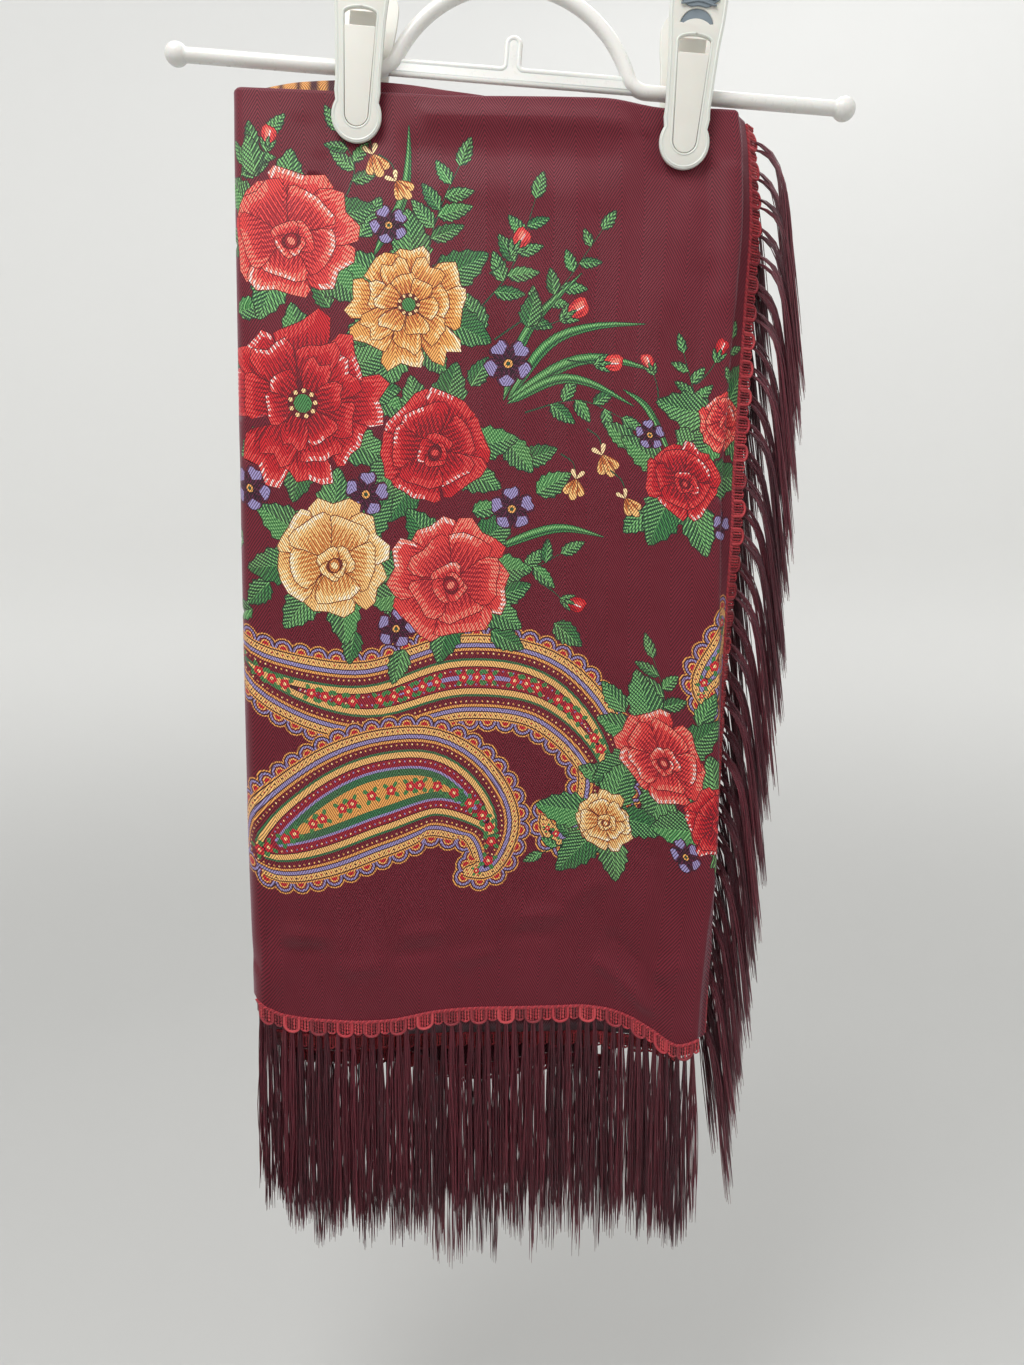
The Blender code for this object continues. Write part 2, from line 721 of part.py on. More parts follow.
def station_plan(kind, share, height):
    """Plan place of one column of the outer wall at a height."""
    left = side("left", height)
    depth = half_depth(left, height)
    if kind == "margin":
        return margin_point(height, share * MARGIN)
    if kind == "pleat":
        crease = side("crease", height)
        radius = min(PLEAT_RADIUS, PLEAT_SHARE * side("pleat", height))
        turn = math.radians(share)
        x = crease - radius + radius * math.sin(turn)
        return x, -half_depth(crease, height) + radius * (1 - math.cos(turn))
    if kind == "front":
        start = left + depth
        x = start + share * (side("crease", height) - PLEAT_RADIUS - start)
        return x, -half_depth(x, height)
    if kind == "fold":
        turn = math.radians(share)
        return left + depth * (1 - math.sin(turn)), -depth * math.cos(turn)
    edge = behind_edge(height)
    if kind == "back":
        start = left + depth
        x = start + share * (edge - start)
        return x, half_depth(x, height)
    turn = math.radians(share)
    radius = END_CURL_SHARE * half_depth(edge, height)
    return edge + radius * math.sin(turn), half_depth(edge, height) - radius * (1 - math.cos(turn))


def hem_height(across, behind):
    """Height of the cloth's lower edge, where the braid begins."""
    rows = BACK_HEM_ROWS if behind else FRONT_HEM_ROWS
    return hem_line(rows, across) + BRAID_WIDTH / 2 + GAP


def outer_column(kind, share):
    """Points of one column of the outer wall, from the hem up and over the crest."""
    behind = kind in ("back", "end") or (kind == "fold" and share > 90)
    x, _ = station_plan(kind, share, HEM_LEVEL)
    low = hem_height(x, behind)
    x, _ = station_plan(kind, share, CREST_LEVEL)
    high = front_crest(x) - TOP_CURL
    places = []
    for i in range(ROW_STEPS + 1):
        height = low + (high - low) * crowded(i / ROW_STEPS)
        x, y = station_plan(kind, share, height)
        places.append(Vector((x, y, height)))
    return places


def inward_normals(columns, row):
    """Level directions into the stack along one row of the outer wall."""
    normals = []
    last = len(columns) - 1
    for c in range(last + 1):
        run = columns[min(c + 1, last)][row] - columns[max(c - 1, 0)][row]
        normals.append(Vector((run.y, -run.x, 0)).normalized())
    return normals


def make_outer_wall():
    """Front panel, left fold and back panel in one piece, its crest rolled inwards."""
    columns = [outer_column(kind, share) for kind, share in front_stations()]
    normals = inward_normals(columns, -1)
    for column, normal in zip(columns, normals):
        crest = column[-1].copy()
        for turn in TOP_CURL_TURNS:
            angle = math.radians(turn)
            inward = normal * TOP_CURL * (1 - math.cos(angle))
            column.append(crest + inward + Vector((0, 0, TOP_CURL * math.sin(angle))))
    sheet_object("shawl_outer", columns)


def sheet_object(name, columns):
    """A cloth wall through columns of points, each from its foot up."""
    rows = len(columns[0])
    points = [place for column in columns for place in column]
    faces = []
    for c in range(len(columns) - 1):
        for r in range(rows - 1):
            here = c * rows + r
            faces.append((here, here + 1, here + rows + 1, here + rows))
    wall = mesh_object(name, points, faces, "burgundy_cloth")
    shell = wall.modifiers.new("cloth", "SOLIDIFY")
    shell.thickness = CLOTH
    shell.offset = -1
    wall.data.shade_smooth()


def back_strip_depth(height):
    return BACK_SHARE * side("half_depth", height)


def strip_right(height):
    """Right end of the layers behind the front one."""
    return side("crease", height) - STRIP_SET_BACK


def strip_columns():
    """Columns of the layer seen at the back, from the folded part to the side edge."""
    columns = []
    for c in range(STRIP_STEPS + 1):
        column = []
        for r in range(ROW_STEPS + 1):
            height = STRIP_FOOT + (STRIP_HEAD - STRIP_FOOT) * crowded(r / ROW_STEPS)
            left = behind_edge(height) - STRIP_LAP
            x = left + (strip_right(height) - left) * c / STRIP_STEPS
            column.append(Vector((x, back_strip_depth(height), height)))
        columns.append(column)
    return columns


def make_back_strip():
    sheet_object("shawl_back_strip", strip_columns())


# Hidden layers


def layer_across(i, j, height):
    """Where a column of the block lies, with a step at the back edge of the folded part."""
    left = side("left", height)
    depth = half_depth(left, height)
    head = LAYER_TUCK * ease(-0.165, -0.140, height)
    if i <= LAYER_LEFT:
        first = left + depth - LAYER_ROUNDING * (depth - LAYER_CLEAR) + head
        return first + (behind_edge(height) - LAYER_STEP_LEFT - first) * i / LAYER_LEFT
    start = behind_edge(height) - LAYER_STEP_RIGHT
    groove = LAYER_END_GROOVE * (j % 2) if i == LAYER_ACROSS else 0.0
    last = side("crease", height) - LAYER_SET_BACK - groove
    return start + (last - start) * (i - LAYER_LEFT - 1) / (LAYER_ACROSS - LAYER_LEFT - 1)


def layer_place(i, j, k):
    """A point of the rounded block that the hidden layers share: across, depth and up."""
    height = STRIP_FOOT + (STRIP_HEAD - STRIP_FOOT) * crowded(k / LAYER_UP)
    x = layer_across(i, j, height)
    left = side("left", height)
    depth = half_depth(left, height)
    pull = min(max(0.0, (left + depth - x) / (depth - LAYER_CLEAR)), LAYER_ROUNDING)
    rounding = math.sqrt(1 - pull**2)
    near_pleat = ease(-20 * MM, -12 * MM, x - side("crease", height)) * side("pleat", height)
    tuck = LAYER_TUCK if k in (0, LAYER_UP) else 0.0
    front = (-half_depth(x, height) + LAYER_CLEAR + near_pleat + tuck) * rounding
    back = (half_depth(x, height) - LAYER_CLEAR - tuck) * rounding
    if i > LAYER_LEFT:
        back = back_strip_depth(height) - CLOTH - STRIP_CLEAR
    y = front + (back - front) * j / LAYER_DEEP
    if k == LAYER_UP:
        ridge = abs(math.sin(math.pi * j / 4))
        rise = second_rise(x) * (1 if j <= LAYER_DEEP / 2 else LAYER_BEHIND_RISE)
        height = front_crest(x) + rise - LAYER_TOP_GROOVE * (1 - ridge)
    if k == 0:
        middle = i <= LAYER_LEFT and j in LAYER_MIDDLE
        groove = LAYER_FOOT_CLEAR if middle else LAYER_FOOT_GROOVE * (j % 2)
        rows = THIRD_HEM_ROWS if middle else SECOND_HEM_ROWS
        height = hem_line(rows, x) + BRAID_WIDTH / 2 + GAP + groove
    return Vector((x, y, height))


def make_inner_layers():
    """The hidden layers as one rounded block, ridged along its top, side and foot."""
    index, points, faces = {}, [], []

    def corner(i, j, k):
        key = (i, j, k)
        if key not in index:
            index[key] = len(points)
            points.append(layer_place(i, j, k))
        return index[key]

    for i in range(LAYER_ACROSS):
        for k in range(LAYER_UP):
            square = ((i, k), (i + 1, k), (i + 1, k + 1), (i, k + 1))
            faces.append([corner(a, 0, b) for a, b in square])
            faces.append([corner(a, LAYER_DEEP, b) for a, b in reversed(square)])
        for j in range(LAYER_DEEP):
            square = ((i, j), (i + 1, j), (i + 1, j + 1), (i, j + 1))
            faces.append([corner(a, b, LAYER_UP) for a, b in square])
            faces.append([corner(a, b, 0) for a, b in reversed(square)])
    for j in range(LAYER_DEEP):
        for k in range(LAYER_UP):
            square = ((j, k), (j + 1, k), (j + 1, k + 1), (j, k + 1))
            faces.append([corner(LAYER_ACROSS, a, b) for a, b in square])
            faces.append([corner(0, a, b) for a, b in reversed(square)])
    mesh_object("shawl_inner_layers", points, faces, "burgundy_cloth")


# Braid and fringe


def strip_mesh(name, rings, finish):
    """A closed strip through rings of four points."""
    points = [place for ring in rings for place in ring]
    faces = []
    for i in range(len(rings) - 1):
        for a in range(4):
            b = (a + 1) % 4
            faces.append((4 * i + a, 4 * i + b, 4 * i + 4 + b, 4 * i + 4 + a))
    last = 4 * (len(rings) - 1)
    faces.append((3, 2, 1, 0))
    faces.append((last, last + 1, last + 2, last + 3))
    piece = mesh_object(name, points, faces, finish)
    face_out(piece.data)
    return piece


def face_out(mesh):
    work = bmesh.new()
    work.from_mesh(mesh)
    bmesh.ops.recalc_face_normals(work, faces=work.faces)
    work.to_mesh(mesh)
    work.free()


def locks_mesh(name, locks, finish):
    """Tapered three-sided locks, each a list of places and radii."""
    points, faces = [], []
    for lock in locks:
        start = len(points)
        for place, radius in lock:
            for corner in range(3):
                turn = math.radians(90 + 120 * corner)
                points.append(place + Vector((radius * math.cos(turn), radius * math.sin(turn), 0)))
        rings = len(lock)
        for i in range(rings - 1):
            for a in range(3):
                b = (a + 1) % 3
                low = start + 3 * i
                faces.append((low + a, low + b, low + 3 + b, low + 3 + a))
        faces.append((start + 2, start + 1, start))
        end = start + 3 * (rings - 1)
        faces.append((end, end + 1, end + 2))
    piece = mesh_object(name, points, faces, finish)
    face_out(piece.data)
    return piece


def fringe(name, rings, locks):
    strip = strip_mesh(name, rings, "crimson_braid")
    strands = locks_mesh(f"{name}_locks", locks, "plum_fringe")
    join(strip, strands)


def hem_lock(root, offset, chance):
    """One lock of a hem bundle, narrow where it leaves the braid and ragged at its tip."""
    length = FRINGE_LENGTH * chance.uniform(*LOCK_LENGTHS)
    sway = chance.uniform(-LOCK_SWAY, LOCK_SWAY)
    lock = []
    for share, opened, radius in HEM_LOCK_ROWS:
        x = root.x + offset * opened * (1 - ROOT_SPREAD) + sway * share**2
        lock.append((Vector((x, root.y, root.z - length * share)), radius))
    return lock


def along(path, reach):
    """A place at a distance along a path of points."""
    for here, after in zip(path, path[1:]):
        step = (after - here).length
        if reach <= step:
            return here + (after - here) * (reach / step)
        reach -= step
    return path[-1].copy()


def hem_fringe(name, edge, per_bundle, seed):
    """A braid strip under a hem, with its bundles of locks. The edge is the cloth's mid-line."""
    chance = random.Random(seed)
    path = [place - Vector((0, 0, GAP + BRAID_WIDTH / 2)) for place in edge]
    rings = []
    for i, place in enumerate(path):
        run = path[min(i + 1, len(path) - 1)] - path[max(i - 1, 0)]
        out = Vector((run.y, -run.x, 0)).normalized() * BRAID_THICKNESS / 2
        up = Vector((0, 0, BRAID_WIDTH / 2))
        rings.append([place + out - up, place - out - up, place - out + up, place + out + up])
    length = sum((b - a).length for a, b in zip(path, path[1:]))
    bundles = round((length - 2 * STRIP_END) / BUNDLE_PITCH)
    locks = []
    for i in range(bundles):
        middle = length * (i + 0.5) / bundles
        for lock in range(per_bundle):
            offset = (lock - (per_bundle - 1) / 2) * LOCK_SPREAD
            root = along(path, middle + ROOT_SPREAD * offset) - Vector((0, 0, BRAID_WIDTH / 2))
            locks.append(hem_lock(root, offset, chance))
    fringe(name, rings, locks)


def outer_hem(kinds):
    """Mid-line of the outer wall's lower edge, along the columns of some kinds."""
    stations = front_stations()
    feet = [outer_column(kind, share)[:2] for kind, share in stations]
    normals = inward_normals(feet, 0)
    places = []
    for (kind, share), foot, normal in zip(stations, feet, normals):
        if (kind, share) in kinds or kind in kinds:
            places.append(foot[0] + normal * CLOTH / 2)
    return places


def inner_hem(rows, depth, start, end, steps):
    """Lower edge of a hidden layer."""
    places = []
    for i in range(steps + 1):
        x = start + (end - start) * i / steps
        places.append(Vector((x, depth, hem_line(rows, x) + BRAID_WIDTH / 2)))
    return places


def make_hem_fringes():
    front = outer_hem(("pleat", "front", ("fold", 45)))
    back = outer_hem((("fold", 135), "back"))
    strip = [column[0] - Vector((0, CLOTH / 2, 0)) for column in strip_columns()[1:]]
    left = side("left", HEM_LEVEL)
    second = inner_hem(SECOND_HEM_ROWS, SECOND_HEM_DEPTH, left + 14 * MM, 88 * MM, 16)
    third = inner_hem(THIRD_HEM_ROWS, THIRD_HEM_DEPTH, left + 16 * MM, 50 * MM, 14)
    hem_fringe("fringe_hem_front", front, 3, 1)
    hem_fringe("fringe_hem_back", back, 2, 2)
    hem_fringe("fringe_hem_second", second, 1, 3)
    hem_fringe("fringe_hem_third", third, 1, 4)
    hem_fringe("fringe_hem_strip", strip, 2, 5)


def side_lock(root, slot, length):
    """One lock that arches out of a side braid and hangs in its own plane."""
    lock = [(root - Vector((SIDE_ROOT_DEPTH, 0, 0)), ROOT_RADIUS)]
    for share, turned, radius in SIDE_LOCK_ROWS:
        drop = length * share
        out = ARCH_OUT * (1 - math.exp(-drop / ARCH_DROP)) + DRIFT * drop
        y = root.y + (slot - root.y) * turned
        lock.append((Vector((root.x + out, y, root.z - drop)), radius))
    return lock


def side_fringe(name, rings, slots, per_bundle, seed):
    """A braid strip up a side edge, with bundles that arch out and hang."""
    chance = random.Random(seed)
    outer = [(ring[1] + ring[2]) / 2 for ring in rings]
    run = sum((b - a).length for a, b in zip(outer, outer[1:]))
    bundles = round((run - 2 * STRIP_END) / BUNDLE_PITCH)
    locks = []
    for i in range(bundles):
        middle = run * (i + 0.5) / bundles
        for lock in range(per_bundle):
            root = along(outer, middle + (lock - (per_bundle - 1) / 2) * SIDE_ROOT_PITCH)
            slot = slots[(i % 2) * per_bundle + lock]
            length = FRINGE_LENGTH * chance.uniform(*SIDE_LOCK_LENGTHS)
            locks.append(side_lock(root, slot, length))
    fringe(name, rings, locks)


def front_side_rings():
    """The side braid that carries on from the outer wall's turned margin."""
    section = ((0.0, BRAID_FRONT), (BRAID_WIDTH, BRAID_FRONT), (BRAID_WIDTH, BRAID_BACK), (0.0, BRAID_BACK))
    rings = []
    for place in outer_column("margin", 1.0):
        ring = []
        for reach, offset in section:
            x, y = margin_point(place.z, MARGIN + GAP + reach, offset)
            ring.append(Vector((x, y, place.z)))
        rings.append(ring)
    return rings


def back_side_rings():
    """The side braid of the layer seen at the back."""
    rings = []
    deep = BRAID_THICKNESS / 2
    for place in strip_columns()[-1]:
        turn = min(max(side("fold_angle", place.z), BACK_BRAID_TURN), 90)
        angle = math.radians(turn)
        run = Vector((math.cos(angle), math.sin(angle), 0))
        out = Vector((math.sin(angle), -math.cos(angle), 0)) * deep
        start = place + Vector((GAP + 1.1 * deep * math.sin(angle), -CLOTH / 2, 0))
        end = start + run * BRAID_WIDTH
        rings.append([start + out, end + out, end - out, start - out])
    return rings


def make_side_fringes():
    side_fringe("fringe_side_front", front_side_rings(), FRONT_SLOTS, 2, 6)
    side_fringe("fringe_side_back", back_side_rings(), BACK_SLOTS, 1, 7)


clear_scene()
PARTS = bpy.data.collections.new("folded_shawl_on_hanger")
CUTTERS = bpy.data.collections.new("cutters")
bpy.context.scene.collection.children.link(PARTS)
bpy.context.scene.collection.children.link(CUTTERS)
CUTTERS.hide_render = True

hanger = bpy.data.objects.new("hanger_frame", None)
PARTS.objects.link(hanger)
hanger.rotation_euler = (0, HANGER_LEAN, 0)

make_hook(hanger)
make_arch(hanger)
make_rods(hanger)
make_rail(hanger)
for clip_name, clip_place in CLIP_PLACES.items():
    make_clip(clip_name, clip_place, hanger)
make_outer_wall()
make_back_strip()
make_inner_layers()
make_hem_fringes()
make_side_fringes()
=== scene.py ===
"""Looks of the folded, printed and fringed shawl on its clip hanger.

Metres, +Z up. The front faces -Y and the origin is the inside top of the hanger's hook.
The cloth's own flat coordinates run along it and up from its hem: 0 is the left fold,
the front panel is positive and the part folded behind is negative.
"""

import math
import random

import bmesh
import bpy
import numpy as np
from mathutils import Matrix, Vector
from mathutils.geometry import delaunay_2d_cdt


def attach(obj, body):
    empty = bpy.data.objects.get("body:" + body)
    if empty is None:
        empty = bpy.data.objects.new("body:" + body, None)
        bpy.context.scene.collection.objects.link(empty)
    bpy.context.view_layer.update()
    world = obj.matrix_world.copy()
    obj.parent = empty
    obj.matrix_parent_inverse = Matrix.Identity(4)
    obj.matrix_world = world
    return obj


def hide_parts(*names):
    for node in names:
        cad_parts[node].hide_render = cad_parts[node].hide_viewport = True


MM = 0.001
GAP = 0.3 * MM

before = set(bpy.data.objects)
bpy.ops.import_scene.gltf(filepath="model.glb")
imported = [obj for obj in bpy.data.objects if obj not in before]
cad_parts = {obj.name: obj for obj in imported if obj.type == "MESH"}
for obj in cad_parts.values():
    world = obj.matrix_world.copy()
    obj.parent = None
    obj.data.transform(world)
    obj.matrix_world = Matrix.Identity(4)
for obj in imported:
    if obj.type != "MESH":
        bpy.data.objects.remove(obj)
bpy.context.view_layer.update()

# Camera
CAMERA_PLACE = (-0.0094, -0.5729, -0.4117)
CAMERA_TILT = math.radians(4.9)
CAMERA_LENS = 26.0

# Hanger
HANGER_LEAN = math.radians(4.5)
ROD_DROP = 127.0 * MM
ROD_RADIUS = 4.0 * MM
KNOB_REACH = 185.4 * MM
KNOB_RADIUS = 6.4 * MM
ARCH_RADIUS = 69.5 * MM
ARCH_RISE = 50.8 * MM
ARCH_FOOT_RADIUS = 12.0 * MM
HOOK_RADIUS = 25.0 * MM
HOOK_TUBE = 3.9 * MM
HOOK_BEND = 10.0 * MM
HOOK_TIP_TURN = math.radians(205)
RAIL_ABOVE = 6.8 * MM
RAIL_BELOW = 1.5 * MM
RAIL_THICKNESS = 3.4 * MM
TAB_HALF_WIDTH = 4.4 * MM
TAB_RISE = 23.6 * MM
RAIL_FILLET = 3.0 * MM
NECK_STRAIGHT = 8.0 * MM

# Clips
CLIP_PLACES = {"left": -82.5 * MM, "right": 97.5 * MM}
CLIP_TOP = 57.0 * MM
CLIP_BOTTOM = 42.5 * MM
LEVER_SPREAD = math.radians(7.0)
LEVER_THICKNESS = 3.2 * MM
JAW_REACH = 5.8 * MM
BULB_RADIUS = 13.8 * MM
SLOT_TOP_HALF = 8.4 * MM
SLOT_BOTTOM_HALF = 6.3 * MM
SLOT_CEILING = 24.0 * MM
SLOT_CROWN = 3.0 * MM
TONGUE_TOP = 15.5 * MM
TONGUE_THICKNESS = 2.6 * MM
PAD_HEAD = (CLIP_TOP - 15.6 * MM, 12.0 * MM, 50)
PAD_FOOT = (53.5 * MM, 16.5 * MM, 42)
CRESCENT_UPPER = (27.6 * MM, 9.2 * MM, 76)
CRESCENT_LOWER = (20.4 * MM, 11.6 * MM, 38)
LEVER_ROWS = (
    (-0.019, 0.0129),
    (-0.012, 0.0124),
    (0.0, 0.0129),
    (0.018, 0.0138),
    (0.034, 0.0153),
    (0.044, 0.0156),
)

# Cloth
CLOTH = 1.2 * MM
BRAID_WIDTH = 10.4 * MM
TOP_CURL = 2.6 * MM
MARGIN = 9.0 * MM
CREASE_SET_BACK = 0.6 * MM
PLEAT_RADIUS = 2.5 * MM
PLEAT_SHARE = 0.7
BACK_SHARE = 0.34
END_CURL_SHARE = 0.38
CREST_LEVEL = -0.140
HEM_LEVEL = -0.655
PINCH_DEPTH = 5.1 * MM
PINCH_ACROSS = 24.0 * MM
PINCH_HEIGHT = 32.0 * MM
PINCH_FIRMNESS = 1.5

# Upright run of the cloth
SIDE_COLUMNS = ("height", "left", "crease", "pleat", "fold_at", "fold_angle", "half_depth")
SIDE_ROWS = (
    (-0.672, -0.1632, 0.1005, 0.0012, 0.0062, 112, 0.0102),
    (-0.650, -0.1637, 0.1015, 0.0016, 0.0058, 108, 0.0105),
    (-0.610, -0.1642, 0.1050, 0.0022, 0.0035, 100, 0.0110),
    (-0.570, -0.1648, 0.1095, 0.0028, 0.0010, 90, 0.0112),
    (-0.530, -0.1651, 0.1105, 0.0034, 0.0000, 78, 0.0110),
    (-0.470, -0.1652, 0.1098, 0.0042, 0.0000, 66, 0.0108),
    (-0.413, -0.1652, 0.1093, 0.0050, 0.0000, 49, 0.0104),
    (-0.357, -0.1650, 0.1092, 0.0056, 0.0000, 28, 0.0098),
    (-0.300, -0.1648, 0.1120, 0.0062, 0.0000, 30, 0.0092),
    (-0.245, -0.1645, 0.1155, 0.0068, 0.0000, 34, 0.0084),
    (-0.194, -0.1642, 0.1187, 0.0066, 0.0000, 40, 0.0074),
    (-0.165, -0.1640, 0.1180, 0.0050, 0.0000, 46, 0.0068),
    (-0.140, -0.1636, 0.1150, 0.0030, 0.0000, 50, 0.0060),
)

# Broad swells: across, its reach, height, its reach and rise
SWELL_ROWS = (
    (0.000, 0.075, -0.146, 0.012, 0.0015),
    (-0.030, 0.090, -0.500, 0.160, 0.0014),
    (0.066, 0.026, -0.645, 0.012, 0.0016),
    (0.058, 0.012, -0.215, 0.045, -0.0008),
)
RIPPLE_RISE = 0.9 * MM
RIPPLE_ACROSS = 38.0
RIPPLE_LEAN = 5.0
RIPPLE_HEAD = -0.20
RIPPLE_FULL = -0.42
HEM_WAVE_RISE = 1.3 * MM
HEM_WAVE_ACROSS = 70.0
HEM_WAVE_PHASE = 1.1
HEM_WAVE_LEVEL = -0.640
HEM_WAVE_REACH = 35.0 * MM

# Crest of the front layer, and how far the next layer stands above it
TOP_ROWS = (
    (-0.165, -0.1310),
    (-0.125, -0.1325),
    (-0.080, -0.1338),
    (-0.043, -0.1362),
    (-0.005, -0.1366),
    (0.040, -0.1372),
    (0.075, -0.1420),
    (0.095, -0.1422),
    (0.118, -0.1440),
    (0.135, -0.1490),
)
SECOND_ROWS = (
    (-0.165, -0.0030),
    (-0.150, 0.0005),
    (-0.125, 0.0055),
    (-0.100, 0.0072),
    (-0.065, 0.0060),
    (-0.030, 0.0025),
    (0.000, -0.0020),
    (0.060, -0.0035),
    (0.130, -0.0060),
)

# Middle of the braid along each hem
FRONT_HEM_ROWS = (
    (-0.1650, -0.6485),
    (-0.1600, -0.6530),
    (-0.1430, -0.6622),
    (-0.1240, -0.6652),
    (-0.1050, -0.6659),
    (-0.0840, -0.6646),
    (-0.0520, -0.6588),
    (-0.0210, -0.6567),
    (0.0110, -0.6558),
    (0.0270, -0.6558),
    (0.0440, -0.6576),
    (0.0590, -0.6625),
    (0.0730, -0.6704),
    (0.0900, -0.6800),
    (0.1050, -0.6745),
    (0.1130, -0.6690),
)
BACK_HEM_ROWS = (
    (-0.1650, -0.6485),
    (-0.1520, -0.6560),
    (-0.1250, -0.6690),
    (-0.0900, -0.6735),
    (-0.0500, -0.6690),
    (-0.0100, -0.6705),
    (0.0300, -0.6760),
    (0.0650, -0.6720),
    (0.1150, -0.6660),
)
SECOND_HEM_ROWS = (
    (-0.1600, -0.6715),
    (-0.1150, -0.6765),
    (-0.0450, -0.6745),
    (0.0250, -0.6735),
    (0.0700, -0.6775),
    (0.1000, -0.6900),
)
THIRD_HEM_ROWS = (
    (-0.1600, -0.6850),
    (-0.1150, -0.6890),
    (-0.0850, -0.6865),
    (-0.0400, -0.6980),
    (0.0200, -0.6900),
    (0.0900, -0.6960),
)
SECOND_HEM_DEPTH = -4.4 * MM
THIRD_HEM_DEPTH = 1.2 * MM
SECOND_HEM_ENDS = (14.0 * MM, 88.0 * MM)
THIRD_HEM_ENDS = (16.0 * MM, 50.0 * MM)

# The layer behind
BEHIND_EDGE_TOP = 63.0 * MM
BEHIND_EDGE_BOTTOM = 56.0 * MM
STRIP_LAP = 12.0 * MM
STRIP_SET_BACK = 6.0 * MM
STRIP_FOOT = -0.664
STRIP_HEAD = -0.142
BACK_BRAID_TURN = 60

# Hidden layers
LAYER_CLEAR = CLOTH + 1.0 * MM
LAYER_TUCK = 2.2 * MM
LAYER_ROUNDING = 0.93
LAYER_STEP_LEFT = 28.0 * MM
LAYER_STEP_RIGHT = 16.0 * MM
LAYER_SET_BACK = 10.0 * MM
LAYER_END_GROOVE = 1.6 * MM
LAYER_TOP_GROOVE = 3.2 * MM
LAYER_FOOT_GROOVE = 2.0 * MM
LAYER_BEHIND_RISE = 0.5
STRIP_CLEAR = 0.7 * MM
LAYER_LEFT = 10
LAYER_ACROSS = 15
LAYER_DEEP = 8
LAYER_MIDDLE = (4, 5)

# Fringe
BUNDLE_PITCH = 15.9 * MM
FRINGE_LENGTH = 118.0 * MM
LOCK_SPREAD = 5.2 * MM
ROOT_SPREAD = 0.85
LOCK_SWAY = 1.0 * MM
LOCK_LENGTHS = (0.86, 1.03)
SIDE_LOCK_LENGTHS = (0.84, 1.0)
SIDE_ROOT_PITCH = 4.4 * MM
ARCH_OUT = 10.0 * MM
ARCH_DROP = 9.0 * MM
DRIFT = 0.12
STRIP_END = 2.0 * MM
FRONT_SLOTS = (-4.0 * MM, -0.5 * MM, 3.0 * MM, 6.5 * MM)
BACK_SLOTS = (15.0 * MM, 18.5 * MM)

# Flat coordinates of the cloth's folds, in metres along it
FOLD = 16.0 * MM
PLEAT_START = 278.0 * MM
PLEAT_END = 282.0 * MM
MARGIN_START = 286.0 * MM
MARGIN_END = MARGIN_START + MARGIN
BACK_END = -231.0 * MM
CLOTH_END = -235.0 * MM
CLOTH_HEIGHT = 515.0 * MM
CURL_LENGTH = 5.2 * MM

# Creases laid on the cloth, in millimetres of its flat coordinates:
# both ends, half width and rise, which is negative in a trough
CREASE_GAIN = 1.45
CREASES = (
    (96, 507, 238, 503, 6.0, 1.4),
    (84, 489, 232, 485, 8.5, -1.25),
    (100, 468, 226, 464, 8.0, 0.7),
    (230, 503, 240, 478, 4.0, -1.2),
    (261, 494, 264, 440, 3.4, -1.35),
    (264, 446, 258, 340, 5.0, -1.0),
    (274, 500, 276, 400, 4.6, 1.3),
    (253, 480, 246, 400, 6.0, 0.8),
    (284, 490, 286, 455, 2.4, -1.0),
    (241, 506, 246, 492, 3.0, -0.8),
    (48, 506, 40, 452, 6.0, -0.6),
    (84, 492, 92, 430, 6.0, 0.5),
    (56, 488, 66, 436, 4.5, -0.6),
    (110, 470, 150, 380, 16.0, 0.5),
    (200, 470, 214, 330, 14.0, -0.5),
    (232, 470, 236, 300, 9.0, 0.5),
    (210, 30, 254, 8, 5.0, 2.0),
    (216, 46, 262, 24, 5.0, -1.2),
    (244, 28, 270, 48, 5.0, 1.4),
    (20, 38, 50, 41, 4.6, -1.1),
    (26, 49, 56, 50, 5.0, 1.2),
    (60, 30, 86, 34, 5.0, 1.3),
    (92, 38, 120, 36, 4.6, -1.1),
    (98, 50, 124, 48, 5.0, 1.2),
    (128, 29, 154, 34, 5.0, 1.2),
    (160, 44, 188, 42, 4.6, -1.1),
    (166, 55, 196, 56, 5.0, 1.3),
    (192, 62, 216, 78, 6.0, 1.2),
    (6, 14, 22, 64, 5.0, -1.0),
    (16, 10, 36, 58, 6.0, 1.0),
    (10, 120, 60, 60, 12.0, 0.5),
    (120, 90, 180, 64, 12.0, -0.5),
    (230, 120, 262, 62, 9.0, -0.6),
    (18, 330, 60, 200, 16.0, -0.4),
    (150, 300, 190, 180, 18.0, 0.4),
    (-150, 507, -20, 505, 6.0, 1.0),
    (-150, 489, -24, 486, 8.5, -1.1),
    (-60, 490, -72, 440, 5.0, -0.8),
    (-98, 492, -90, 446, 5.0, 0.7),
    (-140, 470, -120, 300, 14.0, -0.6),
    (-190, 480, -200, 330, 10.0, 0.6),
    (-220, 420, -214, 260, 6.0, -0.6),
    (-30, 330, -70, 180, 16.0, 0.5),
    (-40, 30, -64, 44, 5.0, -0.9),
    (-90, 36, -116, 30, 5.0, 0.8),
    (-140, 40, -160, 36, 5.0, -0.8),
    (-176, 22, -212, 44, 6.0, 1.0),
)


# Curves and shapes shared by the cloth's pieces


